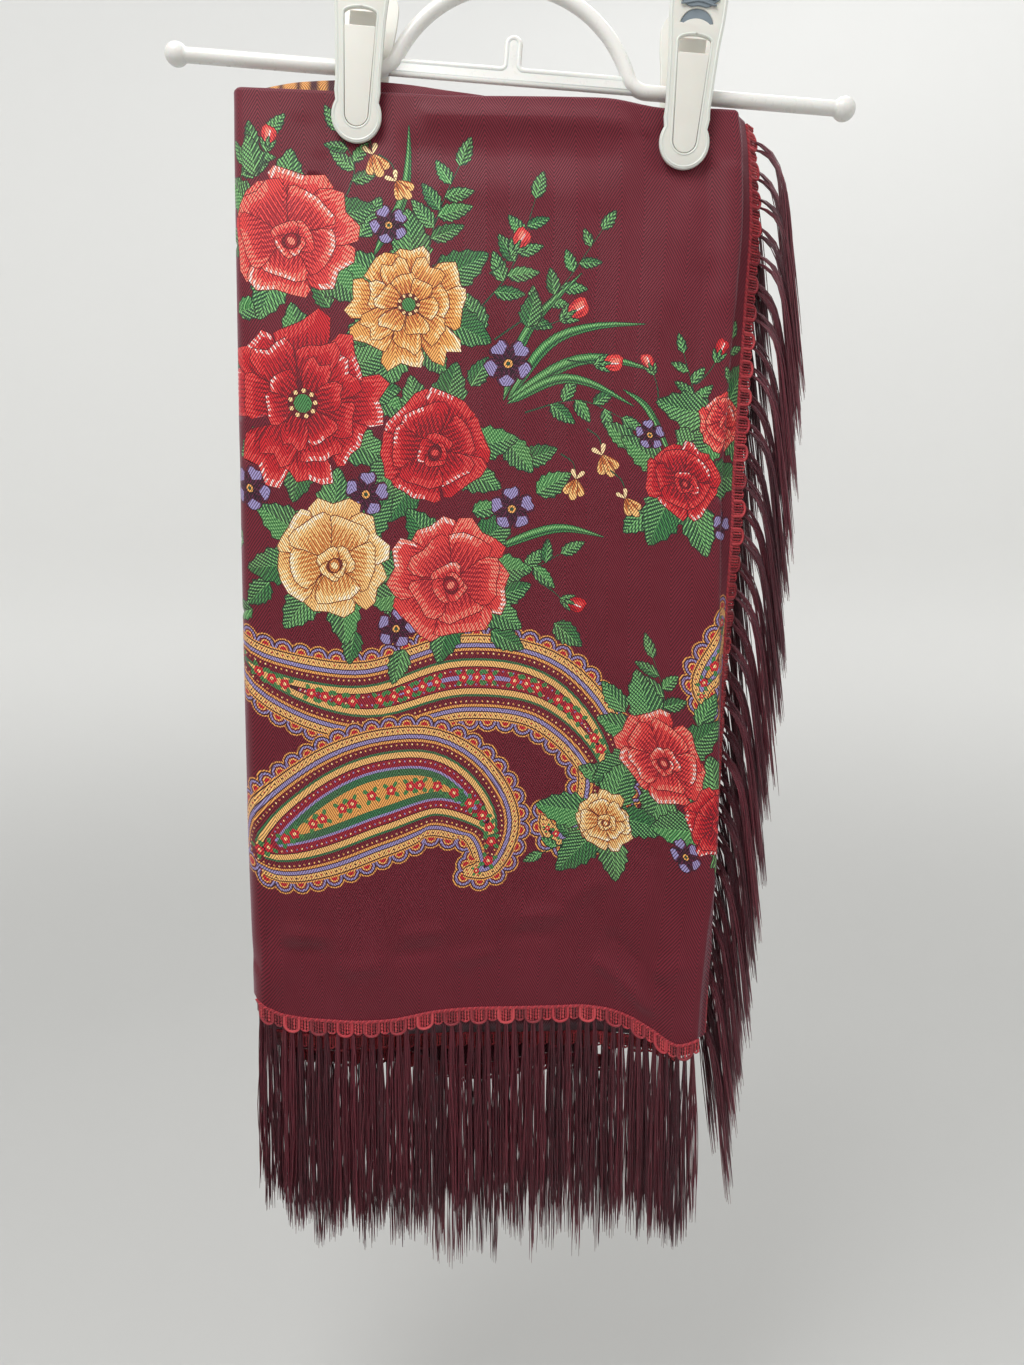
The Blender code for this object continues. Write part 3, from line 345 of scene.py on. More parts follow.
def curve_rows(rows, column, at):
    """Values of a column at places along the table's first column, on a smooth curve."""
    table = np.array(rows, dtype=float)
    place, value = table[:, 0], table[:, column]
    span = np.diff(place)
    slope = np.diff(value) / span
    before, after = slope[:-1], slope[1:]
    whole = before + after
    inner = np.where(before * after > 0, 2 * before * after / np.where(whole == 0, 1, whole), 0.0)
    steep = np.concatenate([[slope[0]], inner, [slope[-1]]])
    at = np.clip(np.asarray(at, dtype=float), place[0], place[-1])
    k = np.clip(np.searchsorted(place, at, side="right") - 1, 0, len(span) - 1)
    t = (at - place[k]) / span[k]
    smooth = (2 * t**3 - 3 * t**2 + 1) * value[k] + (3 * t**2 - 2 * t**3) * value[k + 1]
    return smooth + ((t**3 - 2 * t**2 + t) * steep[k] + (t**3 - t**2) * steep[k + 1]) * span[k]


def side(column, height):
    return curve_rows(SIDE_ROWS, SIDE_COLUMNS.index(column), height)


def ease(low, high, at):
    t = np.clip((at - low) / (high - low), 0.0, 1.0)
    return t * t * (3 - 2 * t)


def bump(at, centre, width):
    return np.exp(-(((at - centre) / width) ** 2))


def arc(centre, radius, start, end, steps):
    """Points round a centre, from one angle in degrees to another."""
    points = []
    for i in range(steps + 1):
        turn = math.radians(start + (end - start) * i / steps)
        points.append((centre[0] + radius * math.cos(turn), centre[1] + radius * math.sin(turn)))
    return points


def pinch(across, height):
    """0 where the cloth hangs free, 1 under a clip."""
    held = np.zeros(np.broadcast(across, height).shape)
    drop = -ROD_DROP - CLIP_BOTTOM + BULB_RADIUS
    for place in CLIP_PLACES.values():
        clip = Matrix.Rotation(HANGER_LEAN, 4, "Y") @ Vector((place, 0, drop))
        near = bump(across, clip.x, PINCH_ACROSS) * bump(height, clip.z, PINCH_HEIGHT)
        held = np.maximum(held, PINCH_FIRMNESS * near)
    return np.minimum(held, 1.0)


def half_depth(across, height):
    """Distance from the middle of the stack to its front."""
    loose = side("half_depth", height)
    for centre, reach, level, level_reach, rise in SWELL_ROWS:
        loose = loose + rise * bump(across, centre, reach) * bump(height, level, level_reach)
    hanging = ease(RIPPLE_HEAD, RIPPLE_FULL, height)
    loose = loose + RIPPLE_RISE * np.sin(RIPPLE_ACROSS * across + RIPPLE_LEAN * height) * hanging
    hem_wave = np.sin(HEM_WAVE_ACROSS * across + HEM_WAVE_PHASE)
    loose = loose + HEM_WAVE_RISE * bump(height, HEM_WAVE_LEVEL, HEM_WAVE_REACH) * hem_wave
    held = pinch(across, height)
    return loose * (1 - held) + PINCH_DEPTH * held


def behind_edge(height):
    share = (height - HEM_LEVEL) / (CREST_LEVEL - HEM_LEVEL)
    return BEHIND_EDGE_BOTTOM + (BEHIND_EDGE_TOP - BEHIND_EDGE_BOTTOM) * share


def margin_point(height, reach, offset=0.0):
    """Plan places on the turned margin past the pleat, at a distance along the cloth."""
    crease = side("crease", height)
    start = side("pleat", height) - half_depth(crease, height)
    angle = np.radians(side("fold_angle", height))
    flat = np.minimum(reach, side("fold_at", height))
    past = reach - flat
    turned = past > 0
    x = crease - CREASE_SET_BACK + flat + past * np.cos(angle) + np.where(turned, np.sin(angle), 0) * offset
    y = start + past * np.sin(angle) + np.where(turned, -np.cos(angle), -1) * offset
    return x, y


def plan(along, height):
    """Plan places of the cloth at flat distances along it, at given heights."""
    left = side("left", height)
    depth = half_depth(left, height)
    crease = side("crease", height)
    start = left + depth
    share = (along - FOLD) / (PLEAT_START - FOLD)
    x_front = start + share * (crease - PLEAT_RADIUS - start)
    y_front = -half_depth(x_front, height)
    radius = np.minimum(PLEAT_RADIUS, PLEAT_SHARE * side("pleat", height))
    turn = np.clip((along - PLEAT_START) / (PLEAT_END - PLEAT_START), 0, 1) * math.pi / 2
    x_pleat = crease - PLEAT_RADIUS + (PLEAT_RADIUS - radius) * np.sin(turn) + radius * np.sin(turn)
    y_pleat = -half_depth(crease, height) + radius * (1 - np.cos(turn))
    x_margin, y_margin = margin_point(height, np.maximum(along - MARGIN_START, 0))
    drop = np.clip((along - PLEAT_END) / (MARGIN_START - PLEAT_END), 0, 1)
    x_drop = crease + (x_margin - crease) * drop
    y_low = -half_depth(crease, height) + radius
    y_drop = y_low + (y_margin - y_low) * drop
    round_turn = np.clip((FOLD - along) / (2 * FOLD), 0, 1) * math.pi
    x_fold = left + depth * (1 - np.sin(round_turn))
    y_fold = -depth * np.cos(round_turn)
    edge = behind_edge(height)
    x_back = start + np.clip((-FOLD - along) / (-FOLD - BACK_END), 0, 1) * (edge - start)
    y_back = half_depth(x_back, height)
    end_radius = END_CURL_SHARE * half_depth(edge, height)
    end_turn = np.clip((BACK_END - along) / (BACK_END - CLOTH_END), 0, 1) * math.pi / 2
    x_end = edge + end_radius * np.sin(end_turn)
    y_end = half_depth(edge, height) - end_radius * (1 - np.cos(end_turn))
    where = [
        along >= MARGIN_START,
        along >= PLEAT_END,
        along >= PLEAT_START,
        along >= FOLD,
        along >= -FOLD,
        along >= BACK_END,
    ]
    x = np.select(where, [x_margin, x_drop, x_pleat, x_front, x_fold, x_back], x_end)
    y = np.select(where, [y_margin, y_drop, y_pleat, y_front, y_fold, y_back], y_end)
    return x, y


def cloth_ends(along):
    """Heights of the hem and of the start of the rolled crest, at flat distances along the cloth."""
    x_low, _ = plan(along, np.full_like(along, HEM_LEVEL))
    x_high, _ = plan(along, np.full_like(along, CREST_LEVEL))
    front_low = curve_rows(FRONT_HEM_ROWS, 1, x_low)
    back_low = curve_rows(BACK_HEM_ROWS, 1, x_low)
    low = np.where(along >= 0, front_low, back_low) + BRAID_WIDTH / 2 + GAP
    high = curve_rows(TOP_ROWS, 1, x_high) - TOP_CURL
    return low, high


def smooth_cloth(along, up):
    """Places of the cloth without its creases. Columns of x, y and z."""
    low, high = cloth_ends(along)
    share = np.clip(up / CLOTH_HEIGHT, 0, 1)
    height = low + (high - low) * share
    x, y = plan(along, height)
    step = 0.5 * MM
    x_next, y_next = plan(along + step, height)
    x_last, y_last = plan(along - step, height)
    run_x, run_y = x_next - x_last, y_next - y_last
    size = np.maximum(np.hypot(run_x, run_y), 1e-9)
    turn = np.clip((up - CLOTH_HEIGHT) / TOP_CURL, 0, math.pi)
    inward = TOP_CURL * (1 - np.cos(turn))
    x = x - run_y / size * inward
    y = y + run_x / size * inward
    z = height + TOP_CURL * np.sin(turn)
    return np.stack([x, y, z], axis=1)


def crease_rise(along, up):
    """How far the listed creases lift the cloth off its smooth form."""
    rise = np.zeros(len(along))
    for row in CREASES:
        x0, y0, x1, y1, width, depth = (value * MM for value in row)
        dx, dy = x1 - x0, y1 - y0
        length = math.hypot(dx, dy)
        t = ((along - x0) * dx + (up - y0) * dy) / length**2
        away = np.abs((along - x0) * dy - (up - y0) * dx) / length
        past = np.maximum(np.abs(t - 0.5) - 0.36, 0) * length / (0.7 * width)
        rise = rise + depth * np.exp(-((away / width) ** 2)) * np.exp(-(past**2))
    edge = ease(0, 12 * MM, up) * ease(CLOTH_HEIGHT, CLOTH_HEIGHT - 8 * MM, up)
    return CREASE_GAIN * rise * (0.25 + 0.75 * edge)


def cloth_normals(along, up):
    step = 0.4 * MM
    across = smooth_cloth(along + step, up) - smooth_cloth(along - step, up)
    rising = smooth_cloth(along, up + step) - smooth_cloth(along, np.maximum(up - step, 0))
    normal = np.cross(across, rising)
    return normal / np.maximum(np.linalg.norm(normal, axis=1), 1e-12)[:, None]


def cloth_places(along, up):
    """Places of the finished cloth, creases included."""
    places = smooth_cloth(along, up)
    return places + cloth_normals(along, up) * crease_rise(along, up)[:, None]


# Materials


def new_material(name):
    made = bpy.data.materials.new(name)
    made.use_nodes = True
    return made, made.node_tree, made.node_tree.nodes["Principled BSDF"]


def node(tree, kind, **settings):
    made = tree.nodes.new(kind)
    for key, value in settings.items():
        setattr(made, key, value)
    return made


def maths(tree, operation, first, second=None, third=None):
    made = node(tree, "ShaderNodeMath", operation=operation)
    for socket, value in zip(made.inputs, (first, second, third)):
        if value is None:
            continue
        if isinstance(value, (int, float)):
            socket.default_value = value
        else:
            tree.links.new(value, socket)
    return made.outputs[0]


def mix(tree, factor, first, second, blend="MIX"):
    made = node(tree, "ShaderNodeMix", data_type="RGBA", blend_type=blend)
    for socket, value in ((made.inputs[0], factor), (made.inputs[6], first), (made.inputs[7], second)):
        if isinstance(value, (int, float)):
            socket.default_value = value
        elif isinstance(value, tuple):
            socket.default_value = (*value, 1.0)
        else:
            tree.links.new(value, socket)
    return made.outputs[2]


def noise(tree, vector, scale, detail=3.0, roughness=0.55):
    made = node(tree, "ShaderNodeTexNoise")
    made.inputs["Scale"].default_value = scale
    made.inputs["Detail"].default_value = detail
    made.inputs["Roughness"].default_value = roughness
    if vector is not None:
        tree.links.new(vector, made.inputs["Vector"])
    return made.outputs["Fac"]


def remap(tree, value, low, high, start=0.0, end=1.0):
    made = node(tree, "ShaderNodeMapRange", interpolation_type="SMOOTHSTEP")
    tree.links.new(value, made.inputs["Value"])
    for key, number in (("From Min", low), ("From Max", high), ("To Min", start), ("To Max", end)):
        made.inputs[key].default_value = number
    return made.outputs["Result"]


def add_bump(tree, shader, height, strength, distance):
    made = node(tree, "ShaderNodeBump")
    made.inputs["Strength"].default_value = strength
    made.inputs["Distance"].default_value = distance
    tree.links.new(height, made.inputs["Height"])
    tree.links.new(made.outputs["Normal"], shader.inputs["Normal"])


def linear(colour):
    """Scene-linear values of a colour given as 0 to 255."""
    shares = [value / 255 for value in colour]
    return tuple(s / 12.92 if s <= 0.04045 else ((s + 0.055) / 1.055) ** 2.4 for s in shares)


CHEVRON = 24.0
TWILL_STEEPNESS = 1.7
TWILL_PITCH = 2.4


def herringbone(tree, flat):
    """Twill lines from 0 to 1 that turn at each chevron. The flat place is in millimetres."""
    parts = node(tree, "ShaderNodeSeparateXYZ")
    tree.links.new(flat, parts.inputs[0])
    column = maths(tree, "PINGPONG", parts.outputs["X"], CHEVRON / 2)
    climb = maths(tree, "MULTIPLY", column, TWILL_STEEPNESS)
    phase = maths(tree, "DIVIDE", maths(tree, "ADD", parts.outputs["Y"], climb), TWILL_PITCH)
    wave = maths(tree, "SINE", maths(tree, "MULTIPLY", phase, 2 * math.pi))
    return maths(tree, "MULTIPLY_ADD", wave, 0.5, 0.5)


def attribute(tree, name):
    return node(tree, "ShaderNodeAttribute", attribute_name=name)


def moulded(name, colours, cloud, wear, roughness, grain, relief, translucent=0.0):
    """A clouded, slightly worn finish: noise scale and detail pairs for its wear and its grain."""
    made, tree, shader = new_material(name)
    place = node(tree, "ShaderNodeTexCoord").outputs["Object"]
    base = mix(tree, noise(tree, place, cloud, 4.0), linear(colours[0]), linear(colours[1]))
    shader.inputs["Subsurface Weight"].default_value = translucent
    shader.inputs["Subsurface Scale"].default_value = 0.002
    tree.links.new(base, shader.inputs["Base Color"])
    tree.links.new(remap(tree, noise(tree, place, *wear), *roughness), shader.inputs["Roughness"])
    add_bump(tree, shader, noise(tree, place, *grain), *relief)
    return made


def white_plastic():
    colours = ((224, 222, 217), (236, 235, 231))
    roughness = (0.3, 0.75, 0.26, 0.40)
    return moulded(
        "hanger_white_plastic", colours, 22.0, (310.0, 3.0), roughness, (900.0, 2.0), (0.05, 0.0002), 0.12
    )


def clip_plastic():
    colours = ((216, 213, 204), (230, 228, 220))
    roughness = (0.3, 0.7, 0.34, 0.46)
    return moulded(
        "clip_warm_white_plastic", colours, 30.0, (420.0, 2.0), roughness, (1500.0, 2.0), (0.06, 0.0002), 0.12
    )


def rubber():
    colours = ((104, 116, 126), (134, 145, 153))
    roughness = (0.3, 0.7, 0.5, 0.7)
    return moulded("clip_grey_rubber", colours, 60.0, (1300.0, 3.0), roughness, (1300.0, 3.0), (0.15, 0.0003))


VEIN_PITCH = 3.0
VEIN_LEAN = 1.25
STREAK_PITCH = 2.5


def stripes(tree, place, pitch):
    """Lines from 0 to 1 across a place, once in each pitch."""
    turns = maths(tree, "MULTIPLY", maths(tree, "DIVIDE", place, pitch), math.pi)
    return maths(tree, "ABSOLUTE", maths(tree, "SINE", turns))


def printed_cloth():
    """Twill cloth whose print comes from the mesh: an ink and a brush-stroke colour on each face."""
    made, tree, shader = new_material("printed_herringbone_cloth")
    flat = attribute(tree, "flat").outputs["Vector"]
    local = node(tree, "ShaderNodeSeparateXYZ")
    tree.links.new(attribute(tree, "local").outputs["Vector"], local.inputs[0])
    ink = attribute(tree, "ink").outputs["Color"]
    mark = attribute(tree, "mark").outputs["Color"]
    kind = attribute(tree, "stroke").outputs["Fac"]
    wobble = noise(tree, flat, 0.35, 3.0)
    off_axis = maths(tree, "ABSOLUTE", local.outputs["Y"])
    vein = maths(tree, "MULTIPLY_ADD", off_axis, -VEIN_LEAN, local.outputs["X"])
    vein_wave = stripes(tree, maths(tree, "MULTIPLY_ADD", wobble, 1.4, vein), VEIN_PITCH)
    streak_wave = stripes(tree, maths(tree, "MULTIPLY_ADD", wobble, 3.4, local.outputs["Y"]), STREAK_PITCH)
    is_leaf = maths(tree, "LESS_THAN", kind, 1.5)
    is_petal = maths(tree, "SUBTRACT", 1.0, is_leaf)

    def chosen(for_leaf, for_petal):
        shares = maths(tree, "MULTIPLY", for_leaf, is_leaf), maths(tree, "MULTIPLY", for_petal, is_petal)
        return maths(tree, "ADD", *shares)

    wave = chosen(vein_wave, streak_wave)
    fade = remap(tree, local.outputs["Z"], 0.95, 0.25)
    leaf_limit = maths(tree, "MULTIPLY_ADD", noise(tree, flat, 0.9, 2.0), 0.385, 0.58)
    petal_limit = maths(tree, "MULTIPLY_ADD", fade, -0.62, 1.08)
    limit = chosen(leaf_limit, petal_limit)
    stroke = remap(tree, maths(tree, "SUBTRACT", wave, limit), -0.08, 0.12)
    drawn = maths(tree, "MULTIPLY", stroke, maths(tree, "GREATER_THAN", kind, 0.5))
    base = mix(tree, drawn, ink, mark)
    finish_cloth(tree, shader, flat, base)
    return made


def finish_cloth(tree, shader, flat, base):
    """Lays the herringbone over a base colour, as tone, roughness and relief. Soft patches of painted sheen
    lighten the base, and the twill's tone is painted light: a painted highlight on its raised lines and painted
    shade in its sunk ones.
    """
    twill = herringbone(tree, flat)
    # Soft patches of painted sheen: a pinkish highlight colour mixed into the base.
    painted_sheen_cloud = noise(tree, flat, 0.03, 3.0)
    base = mix(tree, remap(tree, painted_sheen_cloud, 0.3, 0.75, 0.0, 0.10), base, linear((150, 50, 72)))
    # Painted light on the twill: a painted highlight on its raised lines, painted shade in its sunk ones.
    raised = mix(tree, 1.0, base, (1.50, 1.48, 1.50), "MULTIPLY")
    sunk = mix(tree, 1.0, base, (0.30, 0.27, 0.30), "MULTIPLY")
    tree.links.new(mix(tree, twill, sunk, raised), shader.inputs["Base Color"])
    tree.links.new(remap(tree, twill, 0.0, 1.0, 0.66, 0.48), shader.inputs["Roughness"])
    shader.inputs["Sheen Weight"].default_value = 0.40
    shader.inputs["Sheen Roughness"].default_value = 0.4
    shader.inputs["Sheen Tint"].default_value = (1.0, 0.80, 0.90, 1.0)
    shader.inputs["Specular IOR Level"].default_value = 0.35
    yarn = noise(tree, flat, 3.0, 2.0)
    relief = maths(tree, "MULTIPLY_ADD", yarn, 0.35, twill)
    add_bump(tree, shader, relief, 0.35, 0.0003)


def cord_finish(name, scale, stretch, painted_shine, painted_shine_share, roughness, sheen, relief):
    """Tinted cord or thread with fine fibres, whose noise also lays a painted highlight colour over the tint.
    Sheen: weight and tint.
    """
    made, tree, shader = new_material(name)
    tint = attribute(tree, "tint").outputs["Color"]
    stretched = node(tree, "ShaderNodeMapping")
    stretched.inputs["Scale"].default_value = (1.0, 1.0, stretch)
    tree.links.new(node(tree, "ShaderNodeTexCoord").outputs["Object"], stretched.inputs["Vector"])
    fibre = noise(tree, stretched.outputs[0], scale, 3.0)
    # Painted highlight: the fibre noise mixes a light colour over the tint.
    base = mix(tree, remap(tree, fibre, *painted_shine_share), tint, linear(painted_shine))
    tree.links.new(base, shader.inputs["Base Color"])
    tree.links.new(remap(tree, fibre, *roughness), shader.inputs["Roughness"])
    shader.inputs["Sheen Weight"].default_value = sheen[0]
    shader.inputs["Sheen Tint"].default_value = (*sheen[1], 1.0)
    add_bump(tree, shader, fibre, relief, 0.0003)
    return made


def braid_material():
    painted_shine_share = (0.35, 0.7, 0.0, 0.22)
    roughness = (0.3, 0.7, 0.38, 0.6)
    sheen = (0.2, (1.0, 0.7, 0.7))
    # The light colour passed on is the cord's painted highlight.
    return cord_finish("braid_crimson_cord", 2600.0, 1.0, (222, 104, 106), painted_shine_share, roughness, sheen, 0.4)


def thread_material():
    painted_shine_share = (0.35, 0.75, 0.0, 0.35)
    roughness = (0.3, 0.7, 0.32, 0.5)
    sheen = (0.15, (1.0, 0.75, 0.85))
    # The light colour passed on is the thread's painted highlight.
    return cord_finish("fringe_silky_thread", 2400.0, 0.12, (150, 52, 68), painted_shine_share, roughness, sheen, 0.3)


# Meshes


def mesh_piece(name, points, faces, materials, smooth=True):
    """A piece from arrays of points and of faces with an equal number of corners."""
    mesh = bpy.data.meshes.new(name)
    corners = faces.shape[1]
    mesh.vertices.add(len(points))
    mesh.vertices.foreach_set("co", np.ascontiguousarray(points, dtype=np.float32).ravel())
    mesh.loops.add(faces.size)
    mesh.loops.foreach_set("vertex_index", np.ascontiguousarray(faces, dtype=np.int32).ravel())
    mesh.polygons.add(len(faces))
    mesh.polygons.foreach_set("loop_start", np.arange(0, faces.size, corners, dtype=np.int32))
    mesh.update(calc_edges=True)
    mesh.polygons.foreach_set("use_smooth", np.full(len(mesh.polygons), smooth))
    made = bpy.data.objects.new(name, mesh)
    bpy.context.scene.collection.objects.link(made)
    for item in materials:
        mesh.materials.append(item)
    return made


def set_attribute(mesh, name, kind, domain, values):
    made = mesh.attributes.new(name, kind, domain)
    key = {"FLOAT": "value", "FLOAT_COLOR": "color", "FLOAT_VECTOR": "vector"}[kind]
    made.data.foreach_set(key, np.ascontiguousarray(values, dtype=np.float32).ravel())


def tubes(paths, radii, sides, outward):
    """Tubes along many paths at once. Paths: count, points, 3. Radii: count, points."""
    run = np.gradient(paths, axis=1)
    run /= np.maximum(np.linalg.norm(run, axis=2, keepdims=True), 1e-9)
    outward = np.broadcast_to(outward, paths.shape)
    across = np.cross(run, outward)
    across /= np.maximum(np.linalg.norm(across, axis=2, keepdims=True), 1e-9)
    third = np.cross(across, run)
    turn = 2 * math.pi * np.arange(sides) / sides
    ring = across[:, :, None] * np.cos(turn)[None, None, :, None]
    ring = ring + third[:, :, None] * np.sin(turn)[None, None, :, None]
    points = paths[:, :, None] + ring * radii[:, :, None, None]
    count, steps = radii.shape
    first = (np.arange(count)[:, None, None] * steps + np.arange(steps - 1)[None, :, None]) * sides
    corner = np.arange(sides)[None, None, :]
    after = (corner + 1) % sides
    faces = np.stack([first + corner, first + after, first + sides + after, first + sides + corner], axis=-1)
    return points.reshape(-1, 3), faces.reshape(-1, 4)


class Build:
    """Gathers tubes and plates of one piece, each with its colour and material."""

    def __init__(self):
        self.points, self.faces, self.tints, self.kinds, self.count = [], [], [], [], 0

    def add(self, points, faces, tints, kind):
        self.points.append(points)
        self.faces.append(faces + self.count)
        self.tints.append(np.broadcast_to(tints, (len(points), 3)))
        self.kinds.append(np.full(len(faces), kind))
        self.count += len(points)

    def piece(self, name, materials):
        points = np.concatenate(self.points)
        tints = np.concatenate(self.tints)
        made = mesh_piece(name, points, np.concatenate(self.faces), materials)
        colours = np.concatenate([tints, np.ones((len(tints), 1))], axis=1)
        set_attribute(made.data, "tint", "FLOAT_COLOR", "POINT", colours)
        made.data.polygons.foreach_set("material_index", np.concatenate(self.kinds).astype(np.int32))
        return made


# Braid and fringe


class Edge:
    """A braid's middle line, with the directions towards the cloth and outwards."""

    def __init__(self, middle, out, up=(0.0, 0.0, 1.0)):
        up = np.broadcast_to(np.array(up, dtype=float), middle.shape)
        out = np.broadcast_to(np.array(out, dtype=float), middle.shape)
        self.middle, self.up, self.out = middle, up, out
        steps = np.linalg.norm(np.diff(middle, axis=0), axis=1)
        self.reach = np.concatenate([[0], np.cumsum(steps)])
        self.length = self.reach[-1]

    def at(self, values, along):
        return np.stack([np.interp(along, self.reach, values[:, i]) for i in range(3)], axis=-1)

    def place(self, along, up, out):
        """Places at a distance along, towards the cloth and outwards, all in metres."""
        middle = self.at(self.middle, along)
        return middle + self.at(self.up, along) * up[..., None] + self.at(self.out, along) * out[..., None]


CORD_COLOURS = ((184, 44, 58), (150, 30, 46), (202, 66, 74), (128, 24, 40))
THREAD_COLOURS = ((76, 15, 29), (58, 12, 24), (90, 22, 36), (50, 11, 23), (100, 30, 43))
CORD_RADIUS = 0.55 * MM
LOOP_RADIUS = 0.95 * MM
LOOP_HALF_WIDTH = 4.4 * MM
NARROW_HALF_WIDTH = 2.3 * MM
BEAD_STEPS = 11


def tinted(colours, chance, count):
    picks = [linear(colours[chance.randrange(len(colours))]) for _ in range(count)]
    return np.array(picks)


def add_cords(build, edge, paths, radii, sides, tints):
    """Cords given in braid coordinates: along, towards the cloth and outwards."""
    places = edge.place(paths[..., 0], paths[..., 1], paths[..., 2])
    outward = edge.at(edge.out, paths[..., 0])
    points, faces = tubes(places, radii, sides, outward)
    spread = np.repeat(tints, paths.shape[1] * sides, axis=0)
    build.add(points, faces, spread, 0)


TAPE_COLOUR = (72, 14, 26)
TAPE_FOOT = 3.4 * MM
TAPE_OUT = (0.25 * MM, -0.95 * MM)
NARROW_LOOP_RADIUS = 0.6 * MM
WIDE_BEADS = 5
WIDE_BEAD_PITCH = 1.55 * MM
NARROW_BEADS = 3
NARROW_BEAD_PITCH = 1.75 * MM
WIDE_BEAD_FOOT = 1.9 * MM
NARROW_BEAD_FOOT = 2.6 * MM
TWIST_PITCH = 3.5 * MM
TWIST_RADIUS = 0.62 * MM


def braid(build, edge, bundles, chance):
    """Looped cords over a flat woven edge: a wide loop and a narrow group for each bundle."""
    pitch = edge.length / bundles
    starts = (np.arange(bundles) + 0.5) * pitch
    braid_tape(build, edge, bundles)
    turn = np.linspace(0, math.pi, 11)
    leg = np.linspace(BRAID_WIDTH / 2 - 0.4 * MM, LOOP_HALF_WIDTH - BRAID_WIDTH / 2, 4)[:-1]
    sides = np.full(3, LOOP_HALF_WIDTH)
    x = np.concatenate([-sides, -LOOP_HALF_WIDTH * np.cos(turn), sides])
    bend = LOOP_HALF_WIDTH - BRAID_WIDTH / 2 - (LOOP_HALF_WIDTH - LOOP_RADIUS) * np.sin(turn)
    y = np.concatenate([leg, bend, leg[::-1]])
    repeated_cord(build, edge, x, y, 0.75 * MM, starts, LOOP_RADIUS, 6, chance)
    braid_beads(build, edge, starts, pitch, chance)
    turn = np.linspace(0, math.pi, 7)
    y = NARROW_HALF_WIDTH + 1.7 * MM - BRAID_WIDTH / 2 - (NARROW_HALF_WIDTH - 0.5 * MM) * np.sin(turn)
    x = -NARROW_HALF_WIDTH * np.cos(turn)
    repeated_cord(build, edge, x, y, 0.55 * MM, starts + pitch / 2, NARROW_LOOP_RADIUS, 5, chance)
    x = np.linspace(0, edge.length, int(2 * edge.length / TWIST_PITCH) * 6)
    phase = x / TWIST_PITCH * 2 * math.pi
    for lead, shade in ((0.0, CORD_COLOURS[0]), (math.pi, CORD_COLOURS[1])):
        y = BRAID_WIDTH / 2 - 0.55 * MM + 0.55 * MM * np.sin(phase + lead)
        out = 0.7 * MM + 0.45 * MM * np.cos(phase + lead)
        paths = np.stack([x, y, out], axis=1)[None]
        add_cords(build, edge, paths, np.full((1, len(x)), TWIST_RADIUS), 5, np.array([linear(shade)]))


def braid_tape(build, edge, bundles):
    """The flat woven edge under the cords."""
    along = np.linspace(0, edge.length, max(24, bundles * 6))[:, None]
    rows = np.array([TAPE_FOOT - BRAID_WIDTH / 2, BRAID_WIDTH / 2 - 0.2 * MM])
    face, back = (edge.place(along + 0 * rows, rows + 0 * along, out + 0 * (along + rows)) for out in TAPE_OUT)
    ring = np.stack([face[:, 0], face[:, 1], back[:, 1], back[:, 0]], axis=1)
    faces = []
    for i in range(len(along) - 1):
        for a in range(4):
            b = (a + 1) % 4
            faces.append((4 * i + a, 4 * i + b, 4 * i + 4 + b, 4 * i + 4 + a))
    build.add(ring.reshape(-1, 3), np.array(faces), np.array(linear(TAPE_COLOUR)), 0)


def repeated_cord(build, edge, x, y, out, starts, radius, sides, chance):
    """The same cord laid at each start along the edge."""
    path = np.stack([x, y, np.full_like(x, out)], axis=1)
    paths = np.repeat(path[None], len(starts), axis=0)
    paths[:, :, 0] = np.clip(paths[:, :, 0] + starts[:, None], 0, edge.length)
    radii = np.full(paths.shape[:2], radius)
    add_cords(build, edge, paths, radii, sides, tinted(CORD_COLOURS, chance, len(starts)))


def braid_beads(build, edge, starts, pitch, chance):
    """Beaded uprights: five in each wide loop and three in each narrow group."""
    half = BRAID_WIDTH / 2
    uprights = []
    for k in range(WIDE_BEADS):
        away = k - (WIDE_BEADS - 1) / 2
        uprights.append((away * WIDE_BEAD_PITCH, WIDE_BEAD_FOOT + abs(away) * 0.55 * MM))
    for k in range(NARROW_BEADS):
        away = k - (NARROW_BEADS - 1) / 2
        uprights.append((pitch / 2 + away * NARROW_BEAD_PITCH, NARROW_BEAD_FOOT + abs(away) * 0.4 * MM))
    bead = np.linspace(0, 1, BEAD_STEPS)
    paths, radii = [], []
    for start in starts:
        for k, (offset, rise) in enumerate(uprights):
            foot = rise - half
            y = foot + (half - 0.3 * MM - foot) * bead
            x = start + offset + 0.22 * MM * np.sin(bead * math.pi * 9 + k * 1.3)
            swell = np.abs(np.cos(bead * math.pi * 3.5 + 0.5 * k))
            paths.append(np.stack([np.clip(x, 0, edge.length), y, 0.6 * MM + 0.4 * MM * swell], axis=1))
            radii.append(CORD_RADIUS * (0.45 + 0.85 * swell))
    add_cords(build, edge, np.array(paths), np.array(radii), 5, tinted(CORD_COLOURS, chance, len(paths)))


THREAD_RADIUS = 0.30 * MM
THREAD_STEPS = 11


